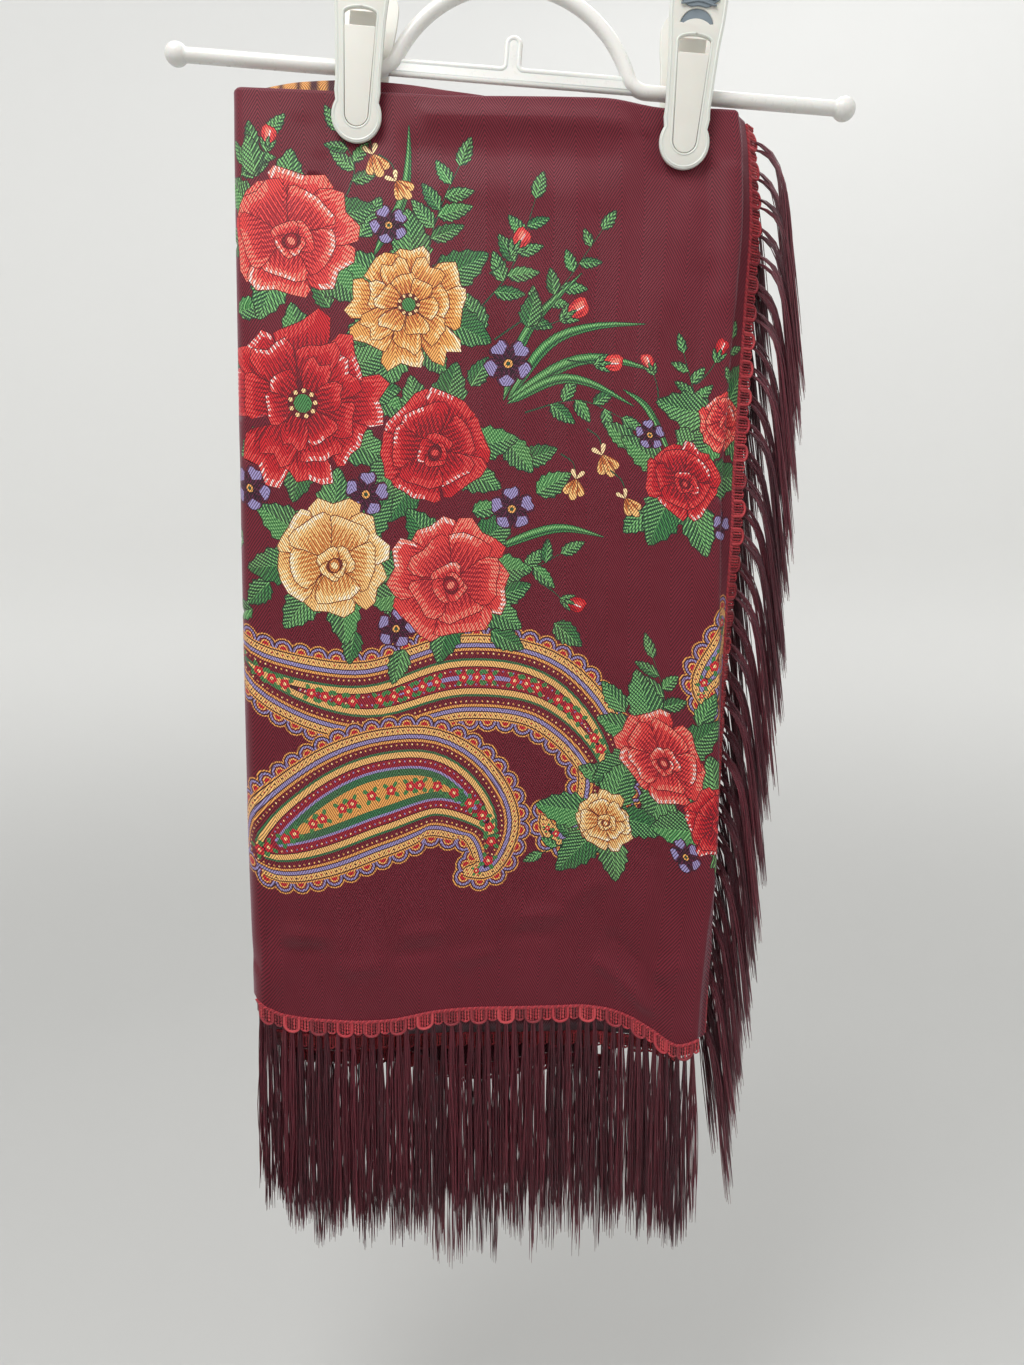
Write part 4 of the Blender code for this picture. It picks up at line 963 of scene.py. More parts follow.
def threads(build, centres, widths, count, chance):
    """Fine threads that follow each lock's centre line. Centres: locks, points, 3."""
    share = np.linspace(0, 1, centres.shape[1])
    paths, tints = [], []
    for centre in centres:
        group = linear(THREAD_COLOURS[chance.randrange(len(THREAD_COLOURS))])
        clump = [(chance.uniform(-1, 1), chance.uniform(-1, 1)) for _ in range(3)]
        for i in range(count):
            spot = math.sqrt(chance.random())
            turn = chance.uniform(0, 2 * math.pi)
            wind = chance.uniform(-1.6, 1.6)
            cut = chance.uniform(0.88, 1.0) if chance.random() < 0.8 else chance.uniform(0.70, 1.04)
            t = share * cut
            level = np.stack([np.interp(t, share, centre[:, k]) for k in range(3)], axis=1)
            wide = np.interp(t, share, widths)
            goal = clump[i % 3]
            gather = ease(0.35, 1.0, t) * 0.22
            x = spot * np.cos(turn + wind * t) * (1 - gather) + goal[0] * gather
            y = spot * np.sin(turn + wind * t) * (1 - gather) + goal[1] * gather
            wave = chance.uniform(0.15, 0.55) * MM * ease(0.05, 0.3, t)
            bend = chance.uniform(5, 12)
            phase = chance.uniform(0, 6.3)
            level[:, 0] += x * wide + wave * np.sin(bend * t + phase)
            level[:, 1] += y * wide + wave * np.cos(bend * 0.8 * t + phase)
            paths.append(level)
            shade = chance.uniform(0.65, 1.5)
            own = linear(THREAD_COLOURS[chance.randrange(len(THREAD_COLOURS))])
            tints.append([(0.6 * a + 0.4 * b) * shade for a, b in zip(group, own)])
    paths = np.array(paths)
    radii = np.full(paths.shape[:2], THREAD_RADIUS) * np.interp(share, [0, 0.05, 0.9, 1], [0.8, 1, 1, 0.35])
    points, faces = tubes(paths, radii, 3, np.array([0.05, 1.0, 0.02]))
    build.add(points, faces, np.repeat(np.array(tints), paths.shape[1] * 3, axis=0), 1)


LOCK_SHARES = np.linspace(0, 1, THREAD_STEPS)


def hem_locks(edge, bundles, per_bundle, seed):
    """Centre lines of the locks under a hem."""
    chance = random.Random(seed)
    centres = []
    for i in range(bundles):
        middle = edge.length * (i + 0.5) / bundles
        for lock in range(per_bundle):
            offset = (lock - (per_bundle - 1) / 2) * LOCK_SPREAD
            root = edge.place(np.array(middle + ROOT_SPREAD * offset), np.array(-BRAID_WIDTH / 2), np.array(0.0))
            length = FRINGE_LENGTH * chance.uniform(*LOCK_LENGTHS)
            sway = chance.uniform(-LOCK_SWAY, LOCK_SWAY)
            opened = np.interp(LOCK_SHARES, [0, 0.1, 0.45, 1.0], [0.15, 0.5, 1.0, 1.1])
            x = root[0] + offset * opened * (1 - ROOT_SPREAD) + sway * LOCK_SHARES**2
            z = root[2] + 2.4 * MM - (length + 2.4 * MM) * LOCK_SHARES
            centres.append(np.stack([x, np.full_like(x, root[1]), z], axis=1))
    return np.array(centres)


def side_locks(edge, bundles, per_bundle, slots, seed):
    """Centre lines of the locks that arch out of a side braid and hang."""
    chance = random.Random(seed)
    centres = []
    for i in range(bundles):
        middle = edge.length * (i + 0.5) / bundles
        for lock in range(per_bundle):
            along = middle + (lock - (per_bundle - 1) / 2) * SIDE_ROOT_PITCH
            root = edge.place(np.array(along), np.array(-BRAID_WIDTH / 2), np.array(0.0))
            slot = slots[(i % 2) * per_bundle + lock]
            length = FRINGE_LENGTH * chance.uniform(*SIDE_LOCK_LENGTHS)
            share = LOCK_SHARES**1.5
            drop = length * share
            out = ARCH_OUT * (1 - np.exp(-drop / ARCH_DROP)) + DRIFT * drop
            turned = np.interp(share, [0, 0.06, 0.2, 1.0], [0, 0.55, 1.0, 1.0])
            x = root[0] - 1.2 * MM + out
            y = root[1] + (slot - root[1]) * turned
            centres.append(np.stack([x, y, root[2] - drop], axis=1))
    return np.array(centres)


def bundle_count(length):
    return round((length - 2 * STRIP_END) / BUNDLE_PITCH)


def fringe_piece(name, edge, centres, widths, count, bundles, seed):
    chance = random.Random(seed + 100)
    build = Build()
    braid(build, edge, bundles, chance)
    threads(build, centres, widths, count, chance)
    made = build.piece(f"{name}_threads", [BRAID_MATERIAL, THREAD_MATERIAL])
    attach(made, "root")
    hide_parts(name)
    return made


HEM_WIDTHS = np.interp(LOCK_SHARES, [0, 0.08, 0.3, 1.0], [1.1, 1.5, 3.0, 3.8]) * MM
SIDE_WIDTHS = np.interp(LOCK_SHARES, [0, 0.3, 0.6, 1.0], [1.1, 1.7, 2.9, 3.6]) * MM


def hem_edge_on_cloth(along):
    """The braid's middle line under the cloth's own hem."""
    feet = smooth_cloth(along, np.zeros_like(along))
    run = np.gradient(feet[:, :2], axis=0)
    run /= np.linalg.norm(run, axis=1, keepdims=True)
    out = np.stack([run[:, 1], -run[:, 0], np.zeros(len(run))], axis=1)
    middle = feet - out * (CLOTH / 2)
    middle[:, 2] -= GAP + BRAID_WIDTH / 2
    return Edge(middle, out)


def hidden_hem_edge(rows, depth, start, end):
    x = np.linspace(start, end, 80)
    z = curve_rows(rows, 1, x) - GAP
    middle = np.stack([x, np.full_like(x, depth), z], axis=1)
    return Edge(middle, (0.0, -1.0, 0.0))


def strip_right(height):
    return side("crease", height) - STRIP_SET_BACK


def back_strip_depth(height):
    return BACK_SHARE * side("half_depth", height)


def strip_hem_edge():
    height = STRIP_FOOT
    left = behind_edge(height) - STRIP_LAP
    right = float(strip_right(height))
    x = np.linspace(left + (right - left) / 3, right, 30)
    y = np.full_like(x, float(back_strip_depth(height)) - CLOTH / 2)
    z = np.full_like(x, height - GAP - BRAID_WIDTH / 2)
    middle = np.stack([x, y, z], axis=1)
    return Edge(middle, (0.0, 1.0, 0.0))


def front_side_edge():
    low, high = cloth_ends(np.array([MARGIN_END]))
    height = np.linspace(low[0], high[0], 160)
    inner = np.stack(margin_point(height, MARGIN + GAP, -0.6 * MM), axis=1)
    outer = np.stack(margin_point(height, MARGIN + GAP + BRAID_WIDTH, -0.6 * MM), axis=1)
    angle = np.radians(side("fold_angle", height))
    middle = np.concatenate([(inner + outer) / 2, height[:, None]], axis=1)
    up = np.concatenate([(inner - outer) / BRAID_WIDTH, np.zeros((len(height), 1))], axis=1)
    out = np.stack([np.sin(angle), -np.cos(angle), np.zeros_like(angle)], axis=1)
    return Edge(middle, out, up)


def back_side_edge():
    height = np.linspace(STRIP_FOOT, STRIP_HEAD, 160)
    angle = np.radians(np.clip(side("fold_angle", height), BACK_BRAID_TURN, 90))
    run = np.stack([np.cos(angle), np.sin(angle), np.zeros_like(angle)], axis=1)
    out = np.stack([-np.sin(angle), np.cos(angle), np.zeros_like(angle)], axis=1)
    start = np.stack([strip_right(height), back_strip_depth(height) - CLOTH / 2, height], axis=1)
    start[:, 0] += GAP + 1.1 * MM * np.sin(angle)
    middle = start + run * BRAID_WIDTH / 2
    return Edge(middle, out, -run)


HEM_SPLIT = 8 * MM


def make_fringes():
    """The braids and fringes of all the edges that show."""
    made = []
    left = float(side("left", HEM_LEVEL))
    second = (left + SECOND_HEM_ENDS[0], SECOND_HEM_ENDS[1])
    third = (left + THIRD_HEM_ENDS[0], THIRD_HEM_ENDS[1])
    # Name, edge, locks in a bundle, threads in a lock and seed
    hems = (
        ("fringe_hem_front", hem_edge_on_cloth(np.linspace(HEM_SPLIT, PLEAT_END, 200)), 3, 24, 1),
        ("fringe_hem_back", hem_edge_on_cloth(np.linspace(BACK_END, -HEM_SPLIT, 180)), 2, 9, 2),
        ("fringe_hem_second", hidden_hem_edge(SECOND_HEM_ROWS, SECOND_HEM_DEPTH, *second), 3, 13, 3),
        ("fringe_hem_third", hidden_hem_edge(THIRD_HEM_ROWS, THIRD_HEM_DEPTH, *third), 3, 11, 4),
        ("fringe_hem_strip", strip_hem_edge(), 2, 12, 5),
    )
    for name, edge, per_bundle, count, seed in hems:
        bundles = bundle_count(edge.length)
        centres = hem_locks(edge, bundles, per_bundle, seed)
        made.append(fringe_piece(name, edge, centres, HEM_WIDTHS, count, bundles, seed))
    # Name, edge, the locks' slots, locks in a bundle, threads in a lock and seed
    sides = (
        ("fringe_side_front", front_side_edge(), FRONT_SLOTS, 2, 18, 6),
        ("fringe_side_back", back_side_edge(), BACK_SLOTS, 1, 14, 7),
    )
    for name, edge, slots, per_bundle, count, seed in sides:
        bundles = bundle_count(edge.length)
        centres = side_locks(edge, bundles, per_bundle, slots, seed)
        made.append(fringe_piece(name, edge, centres, SIDE_WIDTHS, count, bundles, seed))
    return made


# The print: motifs drawn as overlapping outlines in millimetres of the flat cloth


LEAF_LINE = (24, 44, 34)
LEAF_DARK = (34, 78, 52)
LEAF_MID = (66, 134, 74)
LEAF_LIGHT = (118, 182, 110)
GOLD = (238, 172, 92)
GOLD_LIGHT = (250, 214, 150)
LAVENDER = (150, 140, 186)
WHITE = (244, 222, 214)


def five_tones(line, body, deep, light, gleam):
    """A flower's inks, from its outline to its brightest stroke."""
    return {"line": line, "body": body, "deep": deep, "light": light, "gleam": gleam}


RED = five_tones((96, 10, 24), (198, 26, 36), (132, 10, 26), (226, 74, 68), WHITE)
CORAL = five_tones((112, 16, 26), (226, 66, 62), (166, 26, 38), (242, 134, 112), WHITE)
GOLDEN = five_tones((96, 34, 26), GOLD, (196, 110, 52), GOLD_LIGHT, (252, 236, 200))
CREAM = five_tones((110, 44, 30), (246, 196, 122), (206, 126, 62), (252, 226, 170), (254, 244, 220))
PLAIN, VEINS, STREAKS = 0, 1, 2


def inset(outline, distance):
    """A closed outline moved inwards by a distance."""
    points = np.array(outline)
    run = np.roll(points, -1, axis=0) - np.roll(points, 1, axis=0)
    run /= np.maximum(np.linalg.norm(run, axis=1, keepdims=True), 1e-9)
    area = np.sum(points[:, 0] * np.roll(points[:, 1], -1) - np.roll(points[:, 0], -1) * points[:, 1])
    sign = 1.0 if area > 0 else -1.0
    normal = np.stack([-run[:, 1], run[:, 0]], axis=1) * sign
    return [tuple(place) for place in points + normal * distance]


class Print:
    """Shapes of the print in the order they are laid down, the last on top."""

    def __init__(self):
        self.shapes = []

    def add(self, outline, ink, place=(0.0, 0.0), turn=0.0, mark=None, stroke=PLAIN, length=1.0):
        cos, sin = math.cos(turn), math.sin(turn)
        moved = [(place[0] + x * cos - y * sin, place[1] + x * sin + y * cos) for x, y in outline]
        after = moved[1:] + moved[:1]
        if sum(a[0] * b[1] - b[0] * a[1] for a, b in zip(moved, after)) < 0:
            moved.reverse()
        self.shapes.append(
            {
                "outline": moved,
                "ink": ink,
                "mark": mark or ink,
                "stroke": stroke,
                "origin": place,
                "turn": turn,
                "length": max(length, 0.1),
            }
        )


def grown(outline, distance):
    """A closed outline moved outwards by a distance."""
    return inset(outline, -distance)


def disc(radius, steps=10, squash=1.0):
    turns = [2 * math.pi * i / steps for i in range(steps)]
    return [(radius * math.cos(t), radius * squash * math.sin(t)) for t in turns]


def leaf_sides(length, width, teeth):
    upper = []
    for k in range(teeth):
        for step, out in ((0.0, 0.88), (0.72, 1.1)):
            t = (k + step) / teeth
            if t == 0:
                continue
            half = width / 2 * math.sin(math.pi * t**0.72) ** 0.8
            upper.append((t * length, half * out))
    return upper


def leaf(sheet, place, turn, length, width, tone=0):
    """A toothed leaf: dark edge, a light and a dark half with veins, and a pale midrib."""
    teeth = 3 if length < 11 else 5
    upper = leaf_sides(length, width, teeth)
    lower = [(x, -y) for x, y in upper]
    whole = [(0.0, 0.0)] + upper + [(length, 0.0)] + lower[::-1]
    lit, dim = ((LEAF_MID, LEAF_DARK), (LEAF_LIGHT, LEAF_DARK), (LEAF_MID, LEAF_LIGHT))[tone % 3]
    sheet.add(grown(whole, 0.55), LEAF_LINE, place, turn)
    sheet.add(whole, lit, place, turn, dim, VEINS, length)
    shade = [(0.0, 0.0)] + [(x, y) for x, y in lower] + [(length, 0.0)]
    sheet.add(shade[::-1], LEAF_DARK, place, turn, LEAF_LIGHT, VEINS, length)
    rib = [(0.0, 0.32), (0.0, -0.32), (length * 0.9, 0.0)]
    sheet.add(rib, LEAF_LIGHT, place, turn)


# A petal's half width at shares of its length
PETAL_PROFILE = ((0.0, 0.12), (0.22, 0.46), (0.46, 0.80), (0.70, 1.0), (0.88, 0.90), (0.98, 0.52))


def petal_outline(length, width, waves, depth, phase):
    """A petal from its narrow foot to its broad, ruffled end."""
    sides = []
    for sign in (1, -1):
        edge = []
        for share, half in PETAL_PROFILE:
            ruffle = 1 + depth * share * math.sin(2.2 * waves * share + phase * sign)
            edge.append((length * share * ruffle, sign * width / 2 * half * ruffle))
        sides.append(edge)
    tip = (length * (1 - 0.5 * depth), 0.0)
    return sides[0] + [tip] + sides[1][::-1]


def petal(sheet, place, turn, length, width, colours, chance, ruffle=0.10):
    """One petal: dark edge, streaked body, lit rim and a pale gleam."""
    phase = chance.uniform(0, 6.28)
    waves = chance.choice((3, 4, 5))
    body = petal_outline(length, width, waves, ruffle, phase)
    sheet.add(grown(body, 0.5), colours["line"], place, turn)
    sheet.add(body, colours["body"], place, turn, colours["deep"], STREAKS, length)
    lit = body[3:10] if chance.random() < 0.5 else body[2:8]
    back = [(x * 0.80, y * 0.72) for x, y in reversed(lit)]
    sheet.add(lit + back, colours["light"], place, turn, colours["body"], STREAKS, length * 1.5)
    if length > 7 and chance.random() < 0.5:
        first = chance.choice((3, 5, 6))
        rim = body[first : first + 4]
        fold = [(x * 0.90, y * 0.86) for x, y in reversed(rim)]
        sheet.add(rim + fold, colours["gleam"], place, turn, colours["light"], STREAKS, length * 2.2)


def petal_ring(sheet, place, count, start, base, length, width, colours, chance, ruffle=0.10, squash=1.0):
    """Petals that stand round a centre, laid in a shuffled order."""
    order = list(range(count))
    chance.shuffle(order)
    for k in order:
        turn = start + 2 * math.pi * k / count + chance.uniform(-0.12, 0.12)
        foot = (place[0] + base * math.cos(turn), place[1] + base * squash * math.sin(turn))
        size = chance.uniform(0.9, 1.1) * (squash + (1 - squash) * abs(math.cos(turn)))
        petal(sheet, foot, turn, length * size, width * chance.uniform(0.9, 1.1), colours, chance, ruffle)


def rose(sheet, place, radius, turn, colours, chance):
    """A garden rose: broad outer petals, cupped inner ones and a rolled heart."""
    petal_ring(sheet, place, 6, turn, radius * 0.22, radius * 0.80, radius * 0.98, colours, chance, 0.12)
    petal_ring(sheet, place, 5, turn + 0.5, radius * 0.12, radius * 0.66, radius * 0.80, colours, chance, 0.08)
    heart = (place[0] + radius * 0.06 * math.cos(turn), place[1] - radius * 0.10)
    for k in range(4):
        angle = turn + k * 1.75
        foot = (heart[0] - radius * 0.10 * math.cos(angle), heart[1] - radius * 0.10 * math.sin(angle))
        petal(sheet, foot, angle, radius * (0.46 - 0.05 * k), radius * (0.52 - 0.06 * k), colours, chance, 0.05)
    for k, size in enumerate((0.17, 0.12, 0.07)):
        ink = (colours["line"], colours["deep"], colours["light"])[k]
        sheet.add(disc(radius * size, 10, 0.8), ink, heart, turn + k)


def peony(sheet, place, radius, turn, colours, chance):
    """A full peony: three rings of ruffled petals round a dotted eye."""
    petal_ring(sheet, place, 8, turn, radius * 0.30, radius * 0.72, radius * 0.66, colours, chance, 0.16)
    petal_ring(sheet, place, 7, turn + 0.4, radius * 0.18, radius * 0.58, radius * 0.52, colours, chance, 0.14)
    petal_ring(sheet, place, 6, turn + 0.1, radius * 0.08, radius * 0.44, radius * 0.40, colours, chance, 0.12)
    sheet.add(disc(radius * 0.20, 12), colours["line"], place)
    sheet.add(disc(radius * 0.12, 10), LEAF_MID, place)
    for k in range(9):
        angle = turn + 2 * math.pi * k / 9
        dot = (place[0] + radius * 0.16 * math.cos(angle), place[1] + radius * 0.16 * math.sin(angle))
        sheet.add(disc(radius * 0.030, 6), GOLD_LIGHT, dot)


def violet(sheet, place, radius, turn):
    """A small dark flower whose five petals end in streaked lavender."""
    for k in range(5):
        angle = turn + 2 * math.pi * k / 5
        body = petal_outline(radius, radius * 0.82, 4, 0.08, k)
        sheet.add(grown(body, 0.4), (36, 12, 28), place, angle)
        sheet.add(body, (84, 24, 56), place, angle, (50, 14, 36), STREAKS, radius)
        tip = [(x, y * 0.82) for x, y in body if x > radius * 0.5]
        tip = sorted(tip, key=lambda p: math.atan2(p[1], p[0] - radius * 0.5))
        sheet.add([(radius * 0.46, 0.0)] + tip, LAVENDER, place, angle, (96, 50, 92), STREAKS, radius * 0.4)
    sheet.add(disc(radius * 0.26, 10), (40, 16, 26), place)
    sheet.add(disc(radius * 0.19, 9), GOLD, place)
    sheet.add(disc(radius * 0.10, 7), LEAF_DARK, place)


def curve_through(points, steps):
    """A smooth line through points."""
    points = np.array(points, dtype=float)
    knots = np.concatenate([[2 * points[0] - points[1]], points, [2 * points[-1] - points[-2]]])
    out = []
    for i in range(len(points) - 1):
        a, b, c, d = knots[i : i + 4]
        for k in range(steps):
            t = k / steps
            first = 2 * b + (c - a) * t
            out.append(0.5 * (first + (2 * a - 5 * b + 4 * c - d) * t**2 + (3 * b - a - 3 * c + d) * t**3))
    out.append(points[-1])
    return np.array(out)


def band_outline(line, widths):
    """Outline of a band along a line, with its half width at each point."""
    run = np.gradient(line, axis=0)
    run /= np.maximum(np.linalg.norm(run, axis=1, keepdims=True), 1e-9)
    normal = np.stack([-run[:, 1], run[:, 0]], axis=1)
    left = line + normal * widths[:, None]
    right = line - normal * widths[:, None]
    return [tuple(p) for p in left] + [tuple(p) for p in right[::-1]]


def stem(sheet, points, width=0.55, ink=LEAF_DARK):
    line = curve_through(points, 5)
    widths = np.linspace(width, width * 0.45, len(line))
    sheet.add(band_outline(line, widths), ink)


def blade(sheet, points, width):
    """A long grass-like leaf with a lit stripe."""
    line = curve_through(points, 6)
    share = np.linspace(0, 1, len(line))
    widths = width * np.sin(math.pi * share**0.7) ** 0.9 + 0.05
    sheet.add(band_outline(line, widths + 0.4), LEAF_LINE)
    sheet.add(band_outline(line, widths), LEAF_MID)
    run = np.gradient(line, axis=0)
    run /= np.maximum(np.linalg.norm(run, axis=1, keepdims=True), 1e-9)
    off = np.stack([-run[:, 1], run[:, 0]], axis=1) * (widths * 0.35)[:, None]
    sheet.add(band_outline(line + off, widths * 0.3), LEAF_LIGHT)
    sheet.add(band_outline(line - off * 1.3, widths * 0.16), LEAF_DARK)


def spray(sheet, points, leaflets, length, chance, width_share=0.46):
    """A stem with leaves to both sides and one at its tip."""
    stem(sheet, points)
    line = curve_through(points, 8)
    run = np.gradient(line, axis=0)
    for k in range(leaflets):
        share = 0.28 + 0.68 * k / leaflets
        at = int(share * (len(line) - 1))
        heading = math.atan2(run[at][1], run[at][0])
        out = 0.95 if k % 2 else -0.95
        size = length * (1 - 0.35 * share) * chance.uniform(0.85, 1.1)
        leaf(sheet, tuple(line[at]), heading + out, size, size * width_share, k)
    heading = math.atan2(run[-1][1], run[-1][0])
    leaf(sheet, tuple(line[-1]), heading, length * 0.75, length * 0.75 * width_share, 1)


def bud(sheet, place, turn, length, colours):
    """A closed bud in its green cup."""
    body = petal_outline(length, length * 0.62, 3, 0.05, 1.0)
    lit = [(x * 0.92, y * 0.34 + length * 0.07) for x, y in body]
    gleam = [(length * 0.25, -0.4), (length * 0.8, -0.9), (length * 0.9, -0.2), (length * 0.4, 0.3)]
    sheet.add(grown(body, 0.5), colours["line"], place, turn)
    sheet.add(body, colours["body"], place, turn, colours["deep"], STREAKS, length)
    sheet.add(lit, colours["light"], place, turn, colours["body"], STREAKS, length)
    sheet.add(gleam, colours["gleam"], place, turn)
    foot = (place[0] - 0.8 * math.cos(turn), place[1] - 0.8 * math.sin(turn))
    for lean in (-0.55, 0.0, 0.55):
        leaf(sheet, foot, turn + lean, length * 0.62, length * 0.17, 1)


def bell(sheet, place, turn, length):
    """A hanging golden flower: pointed petals under a curled hood."""
    for lean, size in ((-0.5, 0.85), (0.5, 0.85), (0.0, 1.0)):
        body = [(x, y * 0.9) for x, y in petal_outline(length * size, length * 0.42, 2, 0.0, 0.0)]
        sheet.add(grown(body, 0.45), GOLDEN["line"], place, turn + lean)
        sheet.add(body, CREAM["body"], place, turn + lean, GOLDEN["deep"], STREAKS, length)
    for lean in (2.5, 3.7):
        body = petal_outline(length * 0.5, length * 0.2, 2, 0.0, 0.0)
        sheet.add(grown(body, 0.4), GOLDEN["line"], place, turn + lean)
        sheet.add(body, CREAM["light"], place, turn + lean)


SCALLOP_RINGS = (
    (1.0, (226, 158, 80)),
    (0.88, (60, 18, 30)),
    (0.76, LAVENDER),
    (0.60, (104, 24, 40)),
    (0.46, GOLD),
    (0.32, (190, 30, 44)),
)


def spots_along(outline, pitch, least=0):
    """Places at an even pitch along a closed outline."""
    line = np.array(list(outline) + [outline[0]])
    steps = np.linalg.norm(np.diff(line, axis=0), axis=1)
    reach = np.concatenate([[0], np.cumsum(steps)])
    count = max(int(reach[-1] / pitch), least)
    stops = [(k + 0.5) * reach[-1] / count for k in range(count)]
    return [tuple(np.interp(stop, reach, line[:, i]) for i in range(2)) for stop in stops]


def dots_along(sheet, outline, pitch, radius, inks):
    for k, spot in enumerate(spots_along(outline, pitch)):
        sheet.add(disc(radius, 5), inks[k % len(inks)], spot)


def scallops(sheet, outline, pitch, size):
    """Rounded lobes in nested colours, centred on an outline."""
    spots = spots_along(outline, pitch, 3)
    for share, ink in SCALLOP_RINGS:
        for spot in spots:
            sheet.add(disc(size * share, 13 if share > 0.6 else 8), ink, spot)


PAISLEY_BANDS = (
    (0.0, (230, 162, 84)),
    (0.9, (56, 16, 30)),
    (1.6, (238, 186, 112)),
    (5.0, (56, 16, 30)),
    (5.6, LAVENDER),
    (7.6, (56, 16, 30)),
    (8.2, (230, 162, 84)),
    (9.6, (112, 22, 38)),
    (14.0, (52, 110, 70)),
    (15.4, (238, 186, 112)),
    (18.6, (56, 16, 30)),
    (19.2, (150, 26, 44)),
    (23.6, LAVENDER),
    (25.0, (52, 110, 70)),
    (29.0, (230, 162, 84)),
)

PAISLEY_DOTS = {1.6: ((60, 16, 30), (176, 30, 44)), 9.6: (GOLD_LIGHT, GOLD), 19.2: (GOLD_LIGHT, LAVENDER)}


def paisley(sheet, points, head, tail, head_share, lobe=6.5):
    """A paisley: nested bands that follow a curling line, with lobes, dots and small flowers."""
    line = curve_through(points, 7)
    share = np.linspace(0, 1, len(line))
    rise = np.sqrt(np.clip(1 - (1 - np.clip(share / head_share, 0, 1)) ** 2, 0, 1))
    fall = 1 - ease(head_share, 1.0, share) * (1 - tail / head)
    end = np.sqrt(np.clip((1 - share) / 0.05, 0, 1))
    widths = head * rise * fall * end
    outer = band_outline(line, np.maximum(widths, 0.05))
    scallops(sheet, outer, lobe * 1.55, lobe)
    for depth, ink in PAISLEY_BANDS:
        inner = widths - depth
        keep = inner > 0.25
        if keep.sum() < 5:
            break
        sheet.add(band_outline(line[keep], inner[keep]), ink)
        if depth in PAISLEY_DOTS:
            dotted = np.maximum(widths[keep] - depth - 1.6, 0.2)
            inks = PAISLEY_DOTS[depth]
            dots_along(sheet, band_outline(line[keep], dotted), 3.0, 0.62, inks)
    run = np.gradient(line, axis=0)
    reach = np.concatenate([[0], np.cumsum(np.linalg.norm(np.diff(line, axis=0), axis=1))])
    at = 8.0
    while at < reach[-1] - 8:
        k = int(np.searchsorted(reach, at))
        spot, heading = tuple(line[k]), math.atan2(run[k][1], run[k][0])
        size = min(3.4, widths[k] * 0.34)
        if size > 1.1:
            for lean in (0.8, -0.8, 2.3, -2.3):
                sheet.add(petal_outline(size * 1.7, size * 0.7, 2, 0.0, 0.0), LEAF_MID, spot, heading + lean)
            for lean in range(5):
                angle = heading + 2 * math.pi * lean / 5
                place = (spot[0] + size * 0.5 * math.cos(angle), spot[1] + size * 0.5 * math.sin(angle))
                sheet.add(disc(size * 0.42, 7), (206, 40, 50), place)
            sheet.add(disc(size * 0.3, 7), GOLD_LIGHT, spot)
        at += 2.9 * max(size, 2.4)


def leaf_ring(sheet, place, radius, count, start, chance):
    """Leaves that stand out from behind a flower."""
    for k in range(count):
        turn = start + 2 * math.pi * k / count + chance.uniform(-0.22, 0.22)
        foot = (place[0] + radius * 0.62 * math.cos(turn), place[1] + radius * 0.62 * math.sin(turn))
        length = chance.uniform(26, 35)
        leaf(sheet, foot, turn + chance.uniform(-0.35, 0.35), length, length * 0.62, k)


FLOWER_KINDS = {
    "coral rose": (rose, CORAL),
    "red rose": (rose, RED),
    "golden rose": (rose, CREAM),
    "golden peony": (peony, GOLDEN),
    "red peony": (peony, RED),
}

FLOWER_GROWTH = 1.14
SPRAY_GROWTH = 1.28

# Flowers of the front and back: kind, along, up, radius, turn in degrees, leaves behind
FLOWERS = (
    ("coral rose", 38, 440, 29, 20, 6),
    ("golden peony", 103, 404, 28, 40, 7),
    ("red peony", 45, 350, 38, 5, 8),
    ("red rose", 118, 326, 26, 70, 6),
    ("golden rose", 60, 265, 27, 30, 7),
    ("coral rose", 128, 252, 29, 110, 7),
    ("red rose", 258, 318, 18, 10, 5),
    ("coral rose", 281, 352, 14, 60, 4),
    ("coral rose", 247, 158, 22, 40, 6),
    ("golden rose", 214, 112, 14, 10, 5),
    ("red rose", 281, 128, 17, 10, 4),
    ("red peony", -58, 440, 34, 15, 7),
    ("golden rose", -120, 408, 26, 50, 7),
    ("coral rose", -74, 362, 28, 80, 6),
    ("golden peony", -140, 340, 27, 10, 7),
    ("red rose", -46, 292, 25, 30, 6),
    ("red peony", -112, 270, 33, 60, 7),
    ("coral rose", -190, 300, 24, 20, 6),
    ("red rose", -205, 150, 21, 70, 5),
    ("golden rose", -178, 112, 14, 20, 5),
)

# Small dark flowers: along, up, radius, turn in degrees
VIOLETS = (
    (80, 301, 12, 10),
    (158, 372, 13, 50),
    (162, 291, 12, 20),
    (14, 300, 12, 70),
    (96, 226, 11, 5),
    (92, 446, 10, 40),
    (284, 294, 9, 10),
    (262, 108, 9, 50),
    (238, 338, 8, 30),
    (-92, 318, 12, 10),
    (-160, 396, 12, 60),
    (-88, 402, 11, 30),
    (-70, 246, 11, 20),
    (-158, 246, 11, 50),
    (-226, 330, 10, 20),
)

